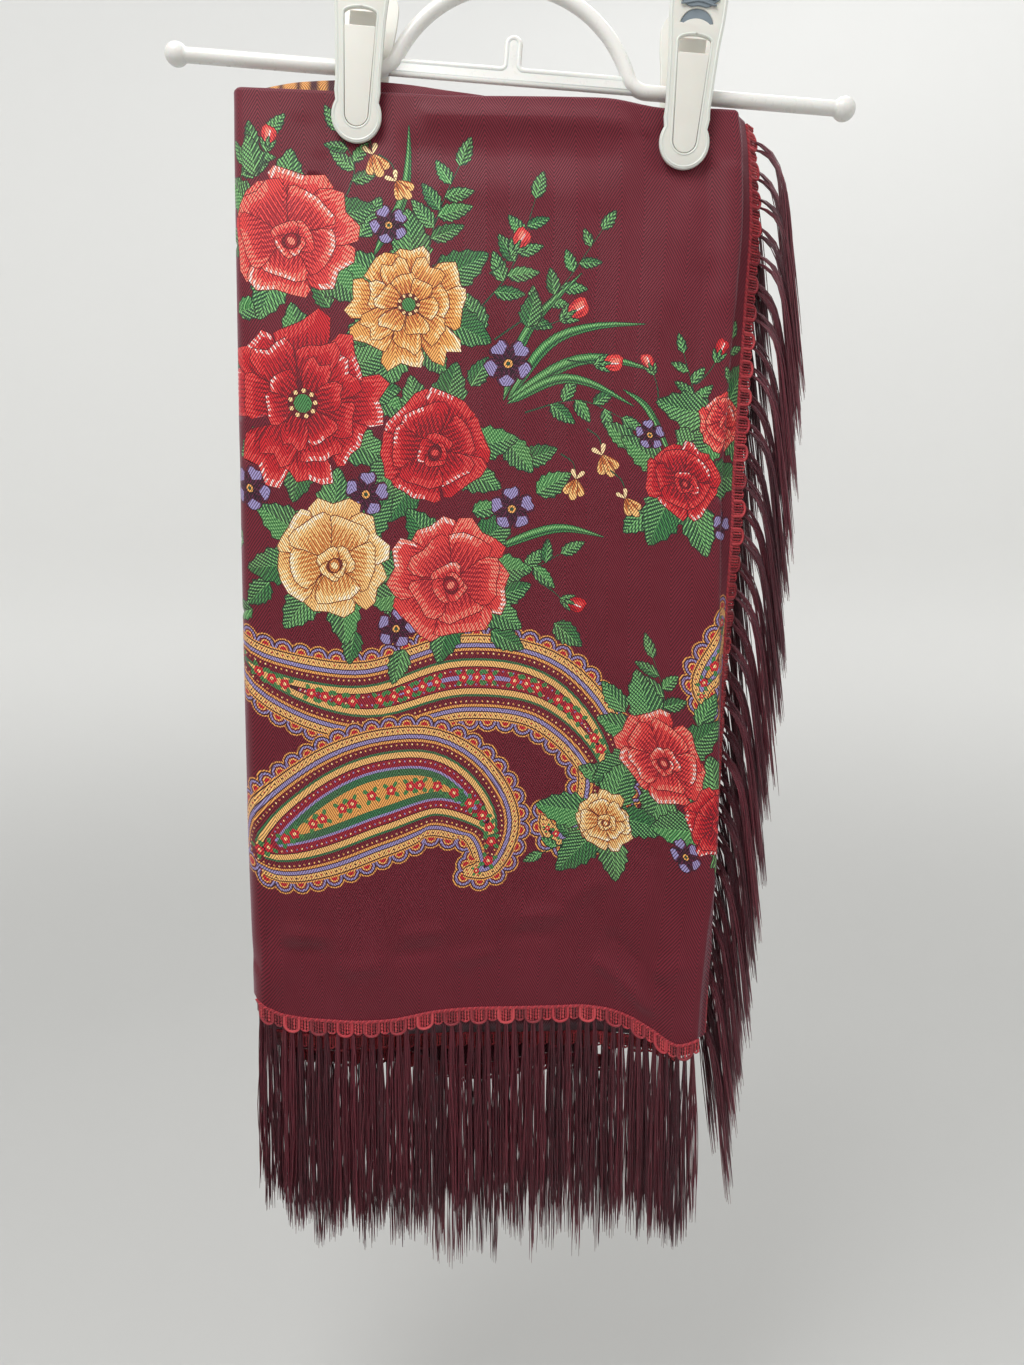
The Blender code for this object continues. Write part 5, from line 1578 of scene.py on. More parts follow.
# Sprays of leaves: three points of the stem, leaflets and leaf length
SPRAYS = (
    ((112, 428), (118, 452), (130, 480), 6, 17),
    ((140, 400), (158, 424), (170, 462), 7, 16),
    ((150, 385), (182, 410), (206, 446), 8, 13),
    ((70, 462), (74, 478), (66, 496), 4, 15),
    ((12, 462), (16, 478), (28, 492), 4, 16),
    ((168, 345), (196, 352), (222, 344), 5, 14),
    ((262, 336), (262, 362), (254, 386), 6, 11),
    ((276, 362), (284, 376), (288, 398), 5, 10),
    ((248, 180), (248, 196), (242, 214), 4, 14),
    ((206, 104), (192, 98), (178, 92), 3, 12),
    ((152, 268), (172, 258), (190, 266), 4, 15),
    ((-50, 470), (-56, 484), (-50, 500), 3, 14),
    ((-128, 430), (-134, 452), (-128, 478), 6, 16),
    ((-150, 400), (-176, 424), (-196, 452), 7, 15),
    ((-168, 340), (-196, 352), (-218, 380), 6, 14),
    ((-205, 170), (-208, 190), (-202, 210), 4, 14),
    ((-20, 400), (-14, 380), (-20, 356), 4, 14),
)

# Closed buds: along, up, turn in degrees, length
BUDS = (
    (158, 432, 60, 15),
    (186, 396, 35, 17),
    (206, 372, 10, 15),
    (272, 384, 70, 12),
    (238, 372, 120, 11),
    (28, 484, 80, 13),
    (190, 240, -20, 14),
    (-166, 436, 120, 15),
    (-190, 400, 150, 15),
    (-210, 240, 120, 13),
)

# Golden bells: along, up, turn in degrees, length
BELLS = (
    (84, 484, -70, 13),
    (96, 470, -50, 12),
    (212, 322, -60, 13),
    (198, 308, -100, 12),
    (226, 300, -50, 11),
    (-100, 470, -110, 13),
    (-210, 280, -80, 12),
)

# Grass blades: three points and half width
BLADES = (
    ((158, 352), (184, 386), (232, 398), 2.2),
    ((158, 352), (196, 374), (240, 374), 2.4),
    ((158, 350), (190, 364), (228, 352), 2.0),
    ((156, 352), (168, 390), (196, 422), 2.0),
    ((84, 430), (100, 462), (104, 500), 1.9),
    ((250, 330), (236, 352), (222, 360), 1.4),
    ((150, 268), (186, 280), (214, 276), 1.9),
    ((-160, 392), (-180, 400), (-216, 398), 2.0),
    ((-158, 392), (-186, 382), (-220, 366), 2.0),
    ((-20, 470), (-24, 486), (-18, 504), 1.8),
)

# Loose leaves: along, up, turn in degrees, length
LEAVES = (
    (8, 396, 20, 20),
    (78, 378, 70, 22),
    (86, 352, -20, 20),
    (88, 290, 200, 19),
    (150, 222, -30, 21),
    (100, 214, 250, 20),
    (24, 250, 230, 20),
    (14, 232, 200, 18),
    (168, 318, 20, 20),
    (138, 360, 60, 18),
    (72, 226, 260, 19),
    (60, 402, 120, 17),
    (140, 290, 10, 16),
    (-30, 330, -60, 20),
    (-150, 300, 200, 20),
    (-100, 228, 260, 20),
    (-14, 420, -40, 18),
    (-166, 372, 160, 18),
    (76, 440, 60, 24),
    (22, 470, 100, 22),
    (142, 388, 110, 24),
    (168, 392, 80, 20),
    (158, 330, -50, 24),
    (176, 300, 30, 22),
    (92, 250, -70, 24),
    (150, 240, 20, 24),
    (8, 268, 160, 22),
    (84, 316, 30, 22),
    (230, 330, 150, 20),
    (276, 330, -60, 20),
    (238, 296, 230, 20),
    (226, 178, 130, 20),
    (268, 184, 60, 20),
    (218, 136, 160, 20),
    (186, 226, -40, 20),
)

# Paisleys: the points they curl along, half widths of head and tail, and the head's share
PAISLEYS = (
    (
        ((-24, 214), (24, 196), (78, 186), (134, 196), (182, 186), (214, 148), (204, 108), (184, 104), (178, 118)),
        25,
        4,
        0.40,
    ),
    (((4, 86), (40, 112), (80, 132), (118, 134), (146, 112), (146, 86), (130, 82)), 37, 4, 0.34),
    (((-24, 214), (-60, 190), (-110, 200), (-150, 214), (-184, 200), (-196, 172), (-182, 160)), 24, 4, 0.40),
    (((-30, 90), (-64, 110), (-104, 126), (-140, 118), (-158, 96), (-148, 82)), 35, 4, 0.34),
    (((296, 250), (284, 226), (270, 206), (274, 190)), 11, 2, 0.40),
)


def draw_print():
    """The whole print in laying order: paisleys, stems and leaves, then the flowers."""
    sheet = Print()
    chance = random.Random(11)
    for points, head, tail, share in PAISLEYS:
        paisley(sheet, points, head, tail, share)
    for first, middle, last, leaflets, length in SPRAYS:
        spray(sheet, (first, middle, last), leaflets, length * SPRAY_GROWTH, chance)
    for first, middle, last, width in BLADES:
        blade(sheet, (first, middle, last), width * SPRAY_GROWTH)
    for along, up, turn, length in LEAVES:
        leaf(sheet, (along, up), math.radians(turn), length, length * 0.6, int(along))
    for along, up, turn, length in BUDS:
        heading = math.radians(turn)
        foot = (along - 16 * math.cos(heading - 0.3), up - 16 * math.sin(heading - 0.3))
        stem(sheet, (foot, ((along + foot[0]) / 2 + 1, (up + foot[1]) / 2), (along, up)))
        bud(sheet, (along, up), heading, length, (RED, CORAL)[int(length) % 2])
    for along, up, turn, length in BELLS:
        heading = math.radians(turn)
        stem(sheet, ((along - 9, up + 14), (along - 2, up + 9), (along, up)))
        bell(sheet, (along, up), heading, length)
    for _, along, up, radius, turn, leaves in FLOWERS:
        leaf_ring(sheet, (along, up), radius, leaves, math.radians(turn), chance)
    for along, up, radius, turn in VIOLETS:
        violet(sheet, (along, up), radius, math.radians(turn))
    for kind, along, up, radius, turn, _ in FLOWERS:
        draw, colours = FLOWER_KINDS[kind]
        draw(sheet, (along, up), radius * FLOWER_GROWTH, math.radians(turn), colours, chance)
    return sheet.shapes


# Cloth pieces


GROUND = (104, 14, 34)
PRINT_GRID = 5.0
PIECE_SEAM = -16.0
BAKE_SHIFT = (240, 10)
PRINT_BAKE_SPAN = 560.0
PLAIN_BAKE_SPAN = 620.0


def flat_grid():
    """Even grid over the flat cloth in millimetres, finer at folds and ends, with the cloth's limits."""
    low_s, high_s = CLOTH_END / MM, MARGIN_END / MM
    high_v = (CLOTH_HEIGHT + CURL_LENGTH) / MM
    xs = np.linspace(low_s, high_s, int((high_s - low_s) / PRINT_GRID) + 1)
    ys = np.linspace(0, high_v, int(high_v / PRINT_GRID) + 1)
    ends = [-231, -16, -12, -8, -4, 0, 4, 8, 12, 16, 278, 279, 280, 281, 282, 286]
    xs = np.unique(np.concatenate([xs, ends]))
    fine = (np.arange(2.5, 80, 2.5), np.arange(472.5, 515, 2.5))
    ys = np.unique(np.concatenate([ys, *fine, [515, 516.3, 517.6, 518.9]]))
    grid = [(x, y) for x in xs for y in ys]
    return np.array(grid), (low_s, high_s, 0.0, high_v)


def make_outer():
    """The printed wall as a front and a back piece that meet behind the left fold."""
    grid, limits = flat_grid()
    points = [Vector(place) for place in grid]
    corners = ((limits[0], limits[2]), (limits[1], limits[2]), (limits[1], limits[3]), (limits[0], limits[3]))
    faces = [list(range(len(points), len(points) + len(corners)))]
    points.extend(Vector(corner) for corner in corners)
    seam = (len(points), len(points) + 1)
    points.extend((Vector((PIECE_SEAM, limits[2])), Vector((PIECE_SEAM, limits[3]))))
    for shape in PRINT_SHAPES:
        faces.append(list(range(len(points), len(points) + len(shape["outline"]))))
        points.extend(Vector(place) for place in shape["outline"])
    verts, _, triangles, _, _, owners = delaunay_2d_cdt(points, [seam], faces, 0, 1e-4, True)
    flat = np.array([(v.x, v.y) for v in verts])
    triangles = np.array([list(t) for t in triangles])
    corner = flat[triangles]
    owner = top_shapes(corner.mean(axis=1), owners)
    first, second = corner[:, 1] - corner[:, 0], corner[:, 2] - corner[:, 0]
    turned = first[:, 0] * second[:, 1] - first[:, 1] * second[:, 0] < 0
    triangles[turned] = triangles[turned][:, ::-1]
    middle = corner[:, :, 0].mean(axis=1)
    made = []
    for name, chosen in (("front", middle >= PIECE_SEAM), ("back", middle < PIECE_SEAM)):
        chosen = chosen & (owner >= 0)
        used, own = np.unique(triangles[chosen], return_inverse=True)
        made.append(outer_piece(f"shawl_outer_{name}_cloth", flat[used], own.reshape(-1, 3), owner[chosen]))
    return made


def top_shapes(middles, owners):
    """The topmost shape over each triangle: 0 is bare cloth and -1 lies outside it."""
    boxes = [(-1e9, -1e9, 1e9, 1e9)]
    for shape in PRINT_SHAPES:
        outline = np.array(shape["outline"])
        boxes.append((*outline.min(axis=0), *outline.max(axis=0)))
    found = []
    for (x, y), ids in zip(middles.tolist(), owners):
        best = -1
        if 0 in ids:
            for i in ids:
                x0, y0, x1, y1 = boxes[i]
                if i > best and x0 <= x <= x1 and y0 <= y <= y1:
                    best = i
        found.append(best)
    return np.array(found)


def outer_piece(name, flat, triangles, owner):
    along = np.clip(flat[:, 0] * MM, CLOTH_END, MARGIN_END)
    up = np.clip(flat[:, 1] * MM, 0, CLOTH_HEIGHT + CURL_LENGTH)
    made = mesh_piece(name, cloth_places(along, up), triangles, [CLOTH_MATERIAL])
    paint(made, flat, triangles, owner, PRINT_SHAPES)
    print(name, len(triangles), "triangles")
    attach(made, "root")
    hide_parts("shawl_outer")
    return made


def paint(made, flat, triangles, owner, shapes):
    """Puts the print's inks and stroke directions on the faces' corners."""
    mesh = made.data
    ink = np.array([linear(GROUND)] + [linear(s["ink"]) for s in shapes])
    mark = np.array([linear(GROUND)] + [linear(s["mark"]) for s in shapes])
    kind = np.array([0.0] + [float(s["stroke"]) for s in shapes])
    origin = np.array([(0.0, 0.0)] + [s["origin"] for s in shapes])
    turn = np.array([0.0] + [s["turn"] for s in shapes])
    length = np.array([1.0] + [s["length"] for s in shapes])
    corner_owner = np.repeat(owner, 3)
    corner_flat = flat[triangles.ravel()]
    away = corner_flat - origin[corner_owner]
    cos, sin = np.cos(turn[corner_owner]), np.sin(turn[corner_owner])
    x = away[:, 0] * cos + away[:, 1] * sin
    y = away[:, 1] * cos - away[:, 0] * sin
    local = np.stack([x, y, x / length[corner_owner]], axis=1)
    ones = np.ones((len(corner_owner), 1))
    set_attribute(mesh, "ink", "FLOAT_COLOR", "CORNER", np.concatenate([ink[corner_owner], ones], axis=1))
    set_attribute(mesh, "mark", "FLOAT_COLOR", "CORNER", np.concatenate([mark[corner_owner], ones], axis=1))
    set_attribute(mesh, "local", "FLOAT_VECTOR", "CORNER", local)
    set_attribute(mesh, "stroke", "FLOAT", "CORNER", kind[corner_owner])
    set_attribute(mesh, "flat", "FLOAT_VECTOR", "POINT", np.concatenate([flat, np.zeros((len(flat), 1))], axis=1))
    layer = mesh.uv_layers.new(name="OFBake")
    layer.uv.foreach_set("vector", ((corner_flat + BAKE_SHIFT) / PRINT_BAKE_SPAN).astype(np.float32).ravel())


def grid_faces(columns, rows):
    here = np.arange(columns - 1)[:, None] * rows + np.arange(rows - 1)[None, :]
    return np.stack([here, here + rows, here + rows + 1, here + 1], axis=-1).reshape(-1, 4)


def plain_attributes(made, flat, colours=None):
    """Flat places in millimetres, ground ink and a UV map for a cloth piece without artwork."""
    mesh = made.data
    count = len(mesh.loops)
    index = np.empty(count, dtype=np.int32)
    mesh.loops.foreach_get("vertex_index", index)
    ink = np.broadcast_to(linear(GROUND), (count, 3)) if colours is None else colours[index]
    ink = np.concatenate([ink, np.ones((count, 1))], axis=1)
    set_attribute(mesh, "ink", "FLOAT_COLOR", "CORNER", ink)
    set_attribute(mesh, "mark", "FLOAT_COLOR", "CORNER", ink)
    set_attribute(mesh, "local", "FLOAT_VECTOR", "CORNER", np.zeros((count, 3)))
    set_attribute(mesh, "stroke", "FLOAT", "CORNER", np.zeros(count))
    set_attribute(mesh, "flat", "FLOAT_VECTOR", "POINT", np.concatenate([flat, np.zeros((len(flat), 1))], axis=1))
    layer = mesh.uv_layers.new(name="OFBake")
    layer.uv.foreach_set("vector", ((flat[index] + BAKE_SHIFT) / PLAIN_BAKE_SPAN).astype(np.float32).ravel())


def make_back_strip():
    """The layer seen at the back, between the folded part and the side braid."""
    columns, rows = 17, 140
    height = np.linspace(STRIP_FOOT, STRIP_HEAD, rows)
    share = np.linspace(0, 1, columns)[:, None]
    left = behind_edge(height) - STRIP_LAP
    x = left + (strip_right(height) - left) * share
    y = back_strip_depth(height) + 0 * x
    z = height + 0 * x
    y = y + 0.5 * MM * np.sin(z * 60 + x * 45) * np.sin(share * math.pi)
    points = np.stack([x, y, z], axis=-1).reshape(-1, 3)
    made = mesh_piece("shawl_back_strip_cloth", points, grid_faces(columns, rows)[:, ::-1], [CLOTH_MATERIAL])
    flat = np.stack([((x + 0.2) / MM).ravel(), ((z + 0.67) / MM).ravel()], axis=1)
    plain_attributes(made, flat)
    shell = made.modifiers.new("cloth", "SOLIDIFY")
    shell.thickness = 0.9 * MM
    shell.offset = -1
    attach(made, "root")
    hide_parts("shawl_back_strip")
    return made


def layer_section(i, share):
    """Across, front and back of the hidden layers' block, at a column and a share of its height."""
    height = STRIP_FOOT + (STRIP_HEAD - STRIP_FOOT) * share
    left = side("left", height)
    depth = half_depth(left, height)
    head = LAYER_TUCK * ease(-0.165, -0.140, height)
    first = left + depth - LAYER_ROUNDING * (depth - LAYER_CLEAR) + head
    if i <= LAYER_LEFT:
        x = first + (behind_edge(height) - LAYER_STEP_LEFT - first) * i / LAYER_LEFT
    else:
        start = behind_edge(height) - LAYER_STEP_RIGHT
        last = side("crease", height) - LAYER_SET_BACK
        x = start + (last - start) * (i - LAYER_LEFT - 1) / (LAYER_ACROSS - LAYER_LEFT - 1)
    pull = np.minimum(np.maximum(0.0, (left + depth - x) / (depth - LAYER_CLEAR)), LAYER_ROUNDING)
    rounding = np.sqrt(1 - pull**2)
    near_pleat = ease(-20 * MM, -12 * MM, x - side("crease", height)) * side("pleat", height)
    tuck = LAYER_TUCK * (ease(0.03, 0.0, share) + ease(0.97, 1.0, share))
    front = (-half_depth(x, height) + LAYER_CLEAR + near_pleat + tuck) * rounding
    back = (half_depth(x, height) - LAYER_CLEAR - tuck) * rounding
    if i > LAYER_LEFT:
        back = back_strip_depth(height) - CLOTH - STRIP_CLEAR
    return x, front, back, height


SCALLOP_GOLD = (222, 158, 84)
SCALLOP_DARK = (70, 26, 36)
SCALLOP_END = -0.095
SCALLOP_TURNS = 700.0


def make_inner_layers():
    """The hidden layers, with their rounded folds along the top, the side and the foot."""
    stations = np.concatenate([np.linspace(0, LAYER_LEFT, 81), np.linspace(LAYER_LEFT + 1, LAYER_ACROSS, 25)])
    deep_steps = 48
    up_steps = 60
    deep = np.linspace(0, LAYER_DEEP, deep_steps + 1)
    grid = {}
    points, colours, flats = [], [], []
    shares = np.linspace(0, 1, up_steps + 1)
    sections = []
    for i in stations:
        sections.append([np.array(v) * np.ones(len(shares)) for v in layer_section(i, shares)])
    ridge = np.abs(np.sin(math.pi * deep / 4)) ** 0.6
    foot_groove = LAYER_FOOT_GROOVE * np.abs(np.sin(math.pi * deep / 2)) ** 0.7

    def corner(a, j, k):
        key = (a, j, k)
        if key in grid:
            return grid[key]
        x, front, back, height = (values[k] for values in sections[a])
        y = front + (back - front) * deep[j] / LAYER_DEEP
        z = height
        if a == len(stations) - 1:
            x = x - LAYER_END_GROOVE * abs(math.sin(math.pi * deep[j] / 2))
        colour = linear(GROUND)
        if k >= up_steps - 1 and x < SCALLOP_END:
            colour = linear(SCALLOP_GOLD if math.sin(x * SCALLOP_TURNS) > -0.2 else SCALLOP_DARK)
        if k == up_steps:
            rise = curve_rows(SECOND_ROWS, 1, x) * (1 if deep[j] <= LAYER_DEEP / 2 else LAYER_BEHIND_RISE)
            z = curve_rows(TOP_ROWS, 1, x) + rise - LAYER_TOP_GROOVE * (1 - ridge[j])
        if k == 0:
            middle = stations[a] <= LAYER_LEFT and LAYER_MIDDLE[0] <= deep[j] <= LAYER_MIDDLE[1]
            rows = THIRD_HEM_ROWS if middle else SECOND_HEM_ROWS
            z = curve_rows(rows, 1, x) + BRAID_WIDTH / 2 + GAP + (0.3 * MM if middle else foot_groove[j])
        grid[key] = len(points)
        points.append((x, y, float(z)))
        colours.append(colour)
        flats.append((float(x) / MM + 200, float(z) / MM + 660 + deep[j] * 2.2))
        return grid[key]

    faces = []
    last_a, last_k = len(stations) - 1, up_steps
    for a in range(last_a):
        for k in range(last_k):
            square = ((a, k), (a + 1, k), (a + 1, k + 1), (a, k + 1))
            faces.append([corner(i, 0, m) for i, m in square])
            faces.append([corner(i, deep_steps, m) for i, m in reversed(square)])
        for j in range(deep_steps):
            square = ((a, j), (a + 1, j), (a + 1, j + 1), (a, j + 1))
            faces.append([corner(i, m, last_k) for i, m in square])
            faces.append([corner(i, m, 0) for i, m in reversed(square)])
    for j in range(deep_steps):
        for k in range(last_k):
            square = ((j, k), (j + 1, k), (j + 1, k + 1), (j, k + 1))
            faces.append([corner(last_a, i, m) for i, m in square])
            faces.append([corner(0, i, m) for i, m in reversed(square)])
    made = mesh_piece("shawl_hidden_layers", np.array(points), np.array(faces), [CLOTH_MATERIAL])
    plain_attributes(made, np.array(flats), np.array(colours))
    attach(made, "root")
    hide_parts("shawl_inner_layers")
    return made


# Hanger and clips


def hanger_turn():
    return Matrix.Rotation(HANGER_LEAN, 4, "Y")


def lofted(name, path, radii, sides, finish, matrix, outward=(0.0, 1.0, 0.0)):
    """A tube along one path with its own radius at each point, closed at both ends."""
    path = np.array(path, dtype=float)
    radii = np.array(radii, dtype=float)
    points, faces = tubes(path[None], radii[None], sides, np.array(outward))
    made = mesh_piece(name, points, faces, [finish])
    made.data.transform(matrix)
    return made


def joined(name, parts):
    """One piece from several, without moving them."""
    work = bmesh.new()
    for part in parts:
        work.from_mesh(part.data)
    mesh = bpy.data.meshes.new(name)
    work.to_mesh(mesh)
    work.free()
    mesh.materials.append(parts[0].data.materials[0])
    for part in parts:
        bpy.data.objects.remove(part, do_unlink=True)
    made = bpy.data.objects.new(name, mesh)
    bpy.context.scene.collection.objects.link(made)
    return made


def arch_foot():
    height = ARCH_RADIUS - ARCH_RISE + ARCH_FOOT_RADIUS
    reach = ARCH_RADIUS + ARCH_FOOT_RADIUS
    foot = math.sqrt(reach**2 - height**2)
    return foot, math.degrees(math.atan2(height, foot))


def knob_profile(reach):
    """Distance and radius from the rod out over its round end."""
    join = math.asin(ROD_RADIUS / KNOB_RADIUS)
    turns = np.linspace(math.pi - join, 0.05, 18)
    far = reach + KNOB_RADIUS * np.cos(turns)
    return list(zip(far, KNOB_RADIUS * np.sin(turns))) + [(reach + KNOB_RADIUS, 0.00002)]


def make_hanger():
    foot, lean = arch_foot()
    arch_centre = (0.0, -ROD_DROP + ARCH_RISE - ARCH_RADIUS)
    bend = (foot, -ROD_DROP + ARCH_FOOT_RADIUS)
    right = [(x, z, ROD_RADIUS) for x, z in arc(arch_centre, ARCH_RADIUS, 90, lean, 40)]
    right += [(x, z, ROD_RADIUS) for x, z in arc(bend, ARCH_FOOT_RADIUS, 180 + lean, 270, 16)[1:]]
    for far in np.linspace(foot + 4 * MM, KNOB_REACH - KNOB_RADIUS - 0.4 * MM, 18):
        right.append((far, -ROD_DROP, ROD_RADIUS))
    for far, radius in knob_profile(KNOB_REACH):
        right.append((far, -ROD_DROP, max(radius, ROD_RADIUS) if far < KNOB_REACH else radius))
    route = [(-x, z, r) for x, z, r in reversed(right[1:])] + right
    path = [(x, 0.0, z) for x, z, _ in route]
    lean_matrix = hanger_turn()
    rods = lofted("rods", path, [r for _, _, r in route], 28, PLASTIC, lean_matrix)
    hook = lofted("hook", *hook_path(), 24, PLASTIC, lean_matrix)
    parts = [rods, hook, rail_plate(lean_matrix), rail_rim(lean_matrix)]
    made = joined("hanger_moulding", parts)
    made.data.polygons.foreach_set("use_smooth", np.full(len(made.data.polygons), True))
    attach(made, "root")
    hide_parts("hanger_arch", "hanger_hook", "hanger_rail", "hanger_rod_left", "hanger_rod_right")
    return made


def hook_path():
    centre = (0.0, HOOK_TUBE - HOOK_RADIUS)
    reach = HOOK_RADIUS + HOOK_BEND
    bend_drop = math.sqrt(reach**2 - HOOK_BEND**2)
    bend_centre = (HOOK_BEND, centre[1] - bend_drop)
    meet = math.degrees(math.atan2(-bend_drop, HOOK_BEND))
    neck = [(0.0, -ROD_DROP + ARCH_RISE), (0.0, bend_centre[1] - NECK_STRAIGHT)]
    neck += arc(bend_centre, HOOK_BEND, 180, 180 + meet, 14)
    neck += arc(centre, HOOK_RADIUS, meet, math.degrees(HOOK_TIP_TURN), 70)[1:]
    radii = [HOOK_TUBE] * len(neck)
    radii[-1] = 0.0003
    radii[-2] = HOOK_TUBE * 0.72
    return [(x, 0.0, z) for x, z in neck], radii


def rail_outline(grow):
    """Outline of the bar under the arch and of its tab, moved out by a distance."""
    foot, _ = arch_foot()
    top = -ROD_DROP + RAIL_ABOVE + grow
    bottom = -ROD_DROP - RAIL_BELOW - grow
    bend = (foot, -ROD_DROP + ARCH_FOOT_RADIUS)
    clear = ARCH_FOOT_RADIUS + 0.5 * ROD_RADIUS
    top_turn = 180 + math.degrees(math.asin((bend[1] - top) / clear))
    bottom_turn = 180 + math.degrees(math.asin(min((bend[1] - bottom) / clear, 1.0)))
    half = TAB_HALF_WIDTH + grow
    tip = -ROD_DROP + TAB_RISE + grow
    right = arc((0, tip - half), half, 90, 0, 12)
    right += arc((half + RAIL_FILLET, top + RAIL_FILLET), RAIL_FILLET, 180, 270, 8)
    right += arc(bend, clear, top_turn, bottom_turn, 10)
    return right + [(-x, z) for x, z in reversed(right[1:])]


def plate(name, outlines, thickness, finish, round_over, matrix, steps=4):
    """A flat piece cut to closed outlines, the first outside and the rest holes, with rounded edges."""
    curve = bpy.data.curves.new(name, "CURVE")
    curve.dimensions = "2D"
    curve.fill_mode = "BOTH"
    curve.extrude = thickness / 2 - round_over
    curve.bevel_depth = round_over
    curve.bevel_resolution = steps
    curve.offset = -round_over
    for outline in outlines:
        spline = curve.splines.new("POLY")
        spline.points.add(len(outline) - 1)
        spline.use_cyclic_u = True
        for point, (x, z) in zip(spline.points, outline):
            point.co = (x, z, 0, 1)
    drawn = bpy.data.objects.new(name, curve)
    bpy.context.scene.collection.objects.link(drawn)
    bpy.context.view_layer.update()
    graph = bpy.context.evaluated_depsgraph_get()
    mesh = bpy.data.meshes.new_from_object(drawn.evaluated_get(graph))
    work = bmesh.new()
    work.from_mesh(mesh)
    bmesh.ops.remove_doubles(work, verts=work.verts, dist=0.00001)
    bmesh.ops.recalc_face_normals(work, faces=work.faces)
    work.to_mesh(mesh)
    work.free()
    bpy.data.objects.remove(drawn, do_unlink=True)
    mesh.materials.clear()
    mesh.materials.append(finish)
    mesh.transform(matrix)
    made = bpy.data.objects.new(name, mesh)
    bpy.context.scene.collection.objects.link(made)
    made.data.polygons.foreach_set("use_smooth", np.full(len(mesh.polygons), True))
    made.data.set_sharp_from_angle(angle=math.radians(38))
    return made


RAIL_PLATE_SHARE = 0.7
RAIL_RIM_RADIUS = 1.7 * MM


def rail_plate(lean_matrix):
    """The thin web of the bar, inside its rim."""
    matrix = lean_matrix @ Matrix.Rotation(math.pi / 2, 4, "X")
    outline = rail_outline(-0.5 * MM)
    return plate("rail", [outline], RAIL_THICKNESS * RAIL_PLATE_SHARE, PLASTIC, 0.4 * MM, matrix)


def rail_rim(lean_matrix):
    """The rounded rim along the top of the bar and round its tab."""
    outline = rail_outline(-1.0 * MM)
    rim = [(x, 0.0, z) for x, z in outline + outline[:2]]
    return lofted("rim", rim, [RAIL_RIM_RADIUS] * len(rim), 12, PLASTIC, lean_matrix)


def lever_side(steps):
    """Smooth right side of a lever from its crown to its jaw."""
    bulb = -CLIP_BOTTOM + BULB_RADIUS
    crown_radius = LEVER_ROWS[-1][1]
    crown = arc((0, CLIP_TOP - crown_radius), crown_radius, 90, 12, 18)
    heights = np.linspace(LEVER_ROWS[-1][0] - 1.5 * MM, LEVER_ROWS[0][0] + 2.5 * MM, steps)
    sides = [(float(curve_rows(LEVER_ROWS, 1, h)), float(h)) for h in heights]
    jaw_start = math.degrees(math.asin((LEVER_ROWS[0][0] - bulb) / BULB_RADIUS))
    jaw = arc((0, bulb), BULB_RADIUS, jaw_start - 14, -90, 26)
    return crown + sides + jaw


def lever_outline():
    right = lever_side(30)
    return right + [(-x, z) for x, z in reversed(right[1:-1])]


def tongue_outline(clear, ceiling, arched):
    """Outline of the tongue, or with clearance and an arched head that of its slot."""
    bulb = -CLIP_BOTTOM + BULB_RADIUS + 1.0 * MM
    top = SLOT_TOP_HALF + clear
    if arched:
        spring = ceiling - SLOT_CROWN
        head = [(x * top, spring + z * SLOT_CROWN) for x, z in arc((0, 0), 1.0, 90, 0, 12)]
    else:
        head = [(0, ceiling), (top - 0.6 * MM, ceiling), (top, ceiling - 0.6 * MM)]
    right = head + arc((0, bulb), SLOT_BOTTOM_HALF + clear, 0, -90, 14)
    return right + [(-x, z) for x, z in reversed(right[1:-1])]


def crescent_outline(grow=0.0):
    height, radius, spread = CRESCENT_UPPER
    upper = arc((0, height), radius + grow, 90 - spread, 90 + spread, 20)
    height, radius, spread = CRESCENT_LOWER
    return upper + arc((0, height), radius - grow, 90 + spread, 90 - spread, 14)


def pad_outline():
    """The rubber pad's outline, with its wavy foot."""
    height, radius, spread = PAD_HEAD
    head = arc((0, height), radius, 90 + spread, 90 - spread, 18)
    height, radius, spread = PAD_FOOT
    foot = arc((0, height), radius, spread - 90, -90 - spread, 24)
    waved = []
    for i, (x, z) in enumerate(foot):
        waved.append((x, z + 0.7 * MM * math.sin(math.pi * i / 24) * math.cos(4 * math.pi * i / 24)))
    return head + waved


def lever_matrix(front):
    flat_to_upright = Matrix.Rotation(math.pi / 2, 4, "X")
    lean = Matrix.Rotation(LEVER_SPREAD, 4, "X")
    jaw = Matrix.Translation((0, -JAW_REACH - LEVER_THICKNESS / 2, -CLIP_BOTTOM))
    placed = jaw @ lean @ Matrix.Translation((0, 0, CLIP_BOTTOM)) @ flat_to_upright
    return placed if front else Matrix.Rotation(math.pi, 4, "Z") @ placed


RIM_RADIUS = 1.35 * MM
SLOT_RIM_RADIUS = 0.75 * MM
RIB_COUNT = 4
RIB_PITCH = 2.6
RIB_FIRST = 2.2
RIB_HALF_LENGTH = 9.5
RIB_RADIUS = 0.55 * MM


def bead(name, path, radius, finish, matrix):
    """A rounded bead along a path on a flat face."""
    return lofted(name, path, [radius] * len(path), 8, finish, matrix, (0.0, 0.0, 1.0))


def rim_path(outline, out):
    """An outline as a path over the face that runs on past its own start."""
    return [(x, z, out) for x, z in outline + outline[:2]]


def pad_ribs(seat):
    """Waved ribs across the rubber pad."""
    height, radius, _ = PAD_FOOT
    ribs = []
    for k in range(RIB_COUNT):
        level = height - radius + (RIB_FIRST + RIB_PITCH * k) * MM
        end = RIB_HALF_LENGTH - k * 0.6
        across = np.linspace(-end, end, 21)
        path = [(x * MM, level + 0.8 * MM * math.cos(x / 9 * math.pi), 2.3 * MM) for x in across]
        ribs.append(bead("rib", path, RIB_RADIUS, RUBBER, seat))
    return ribs


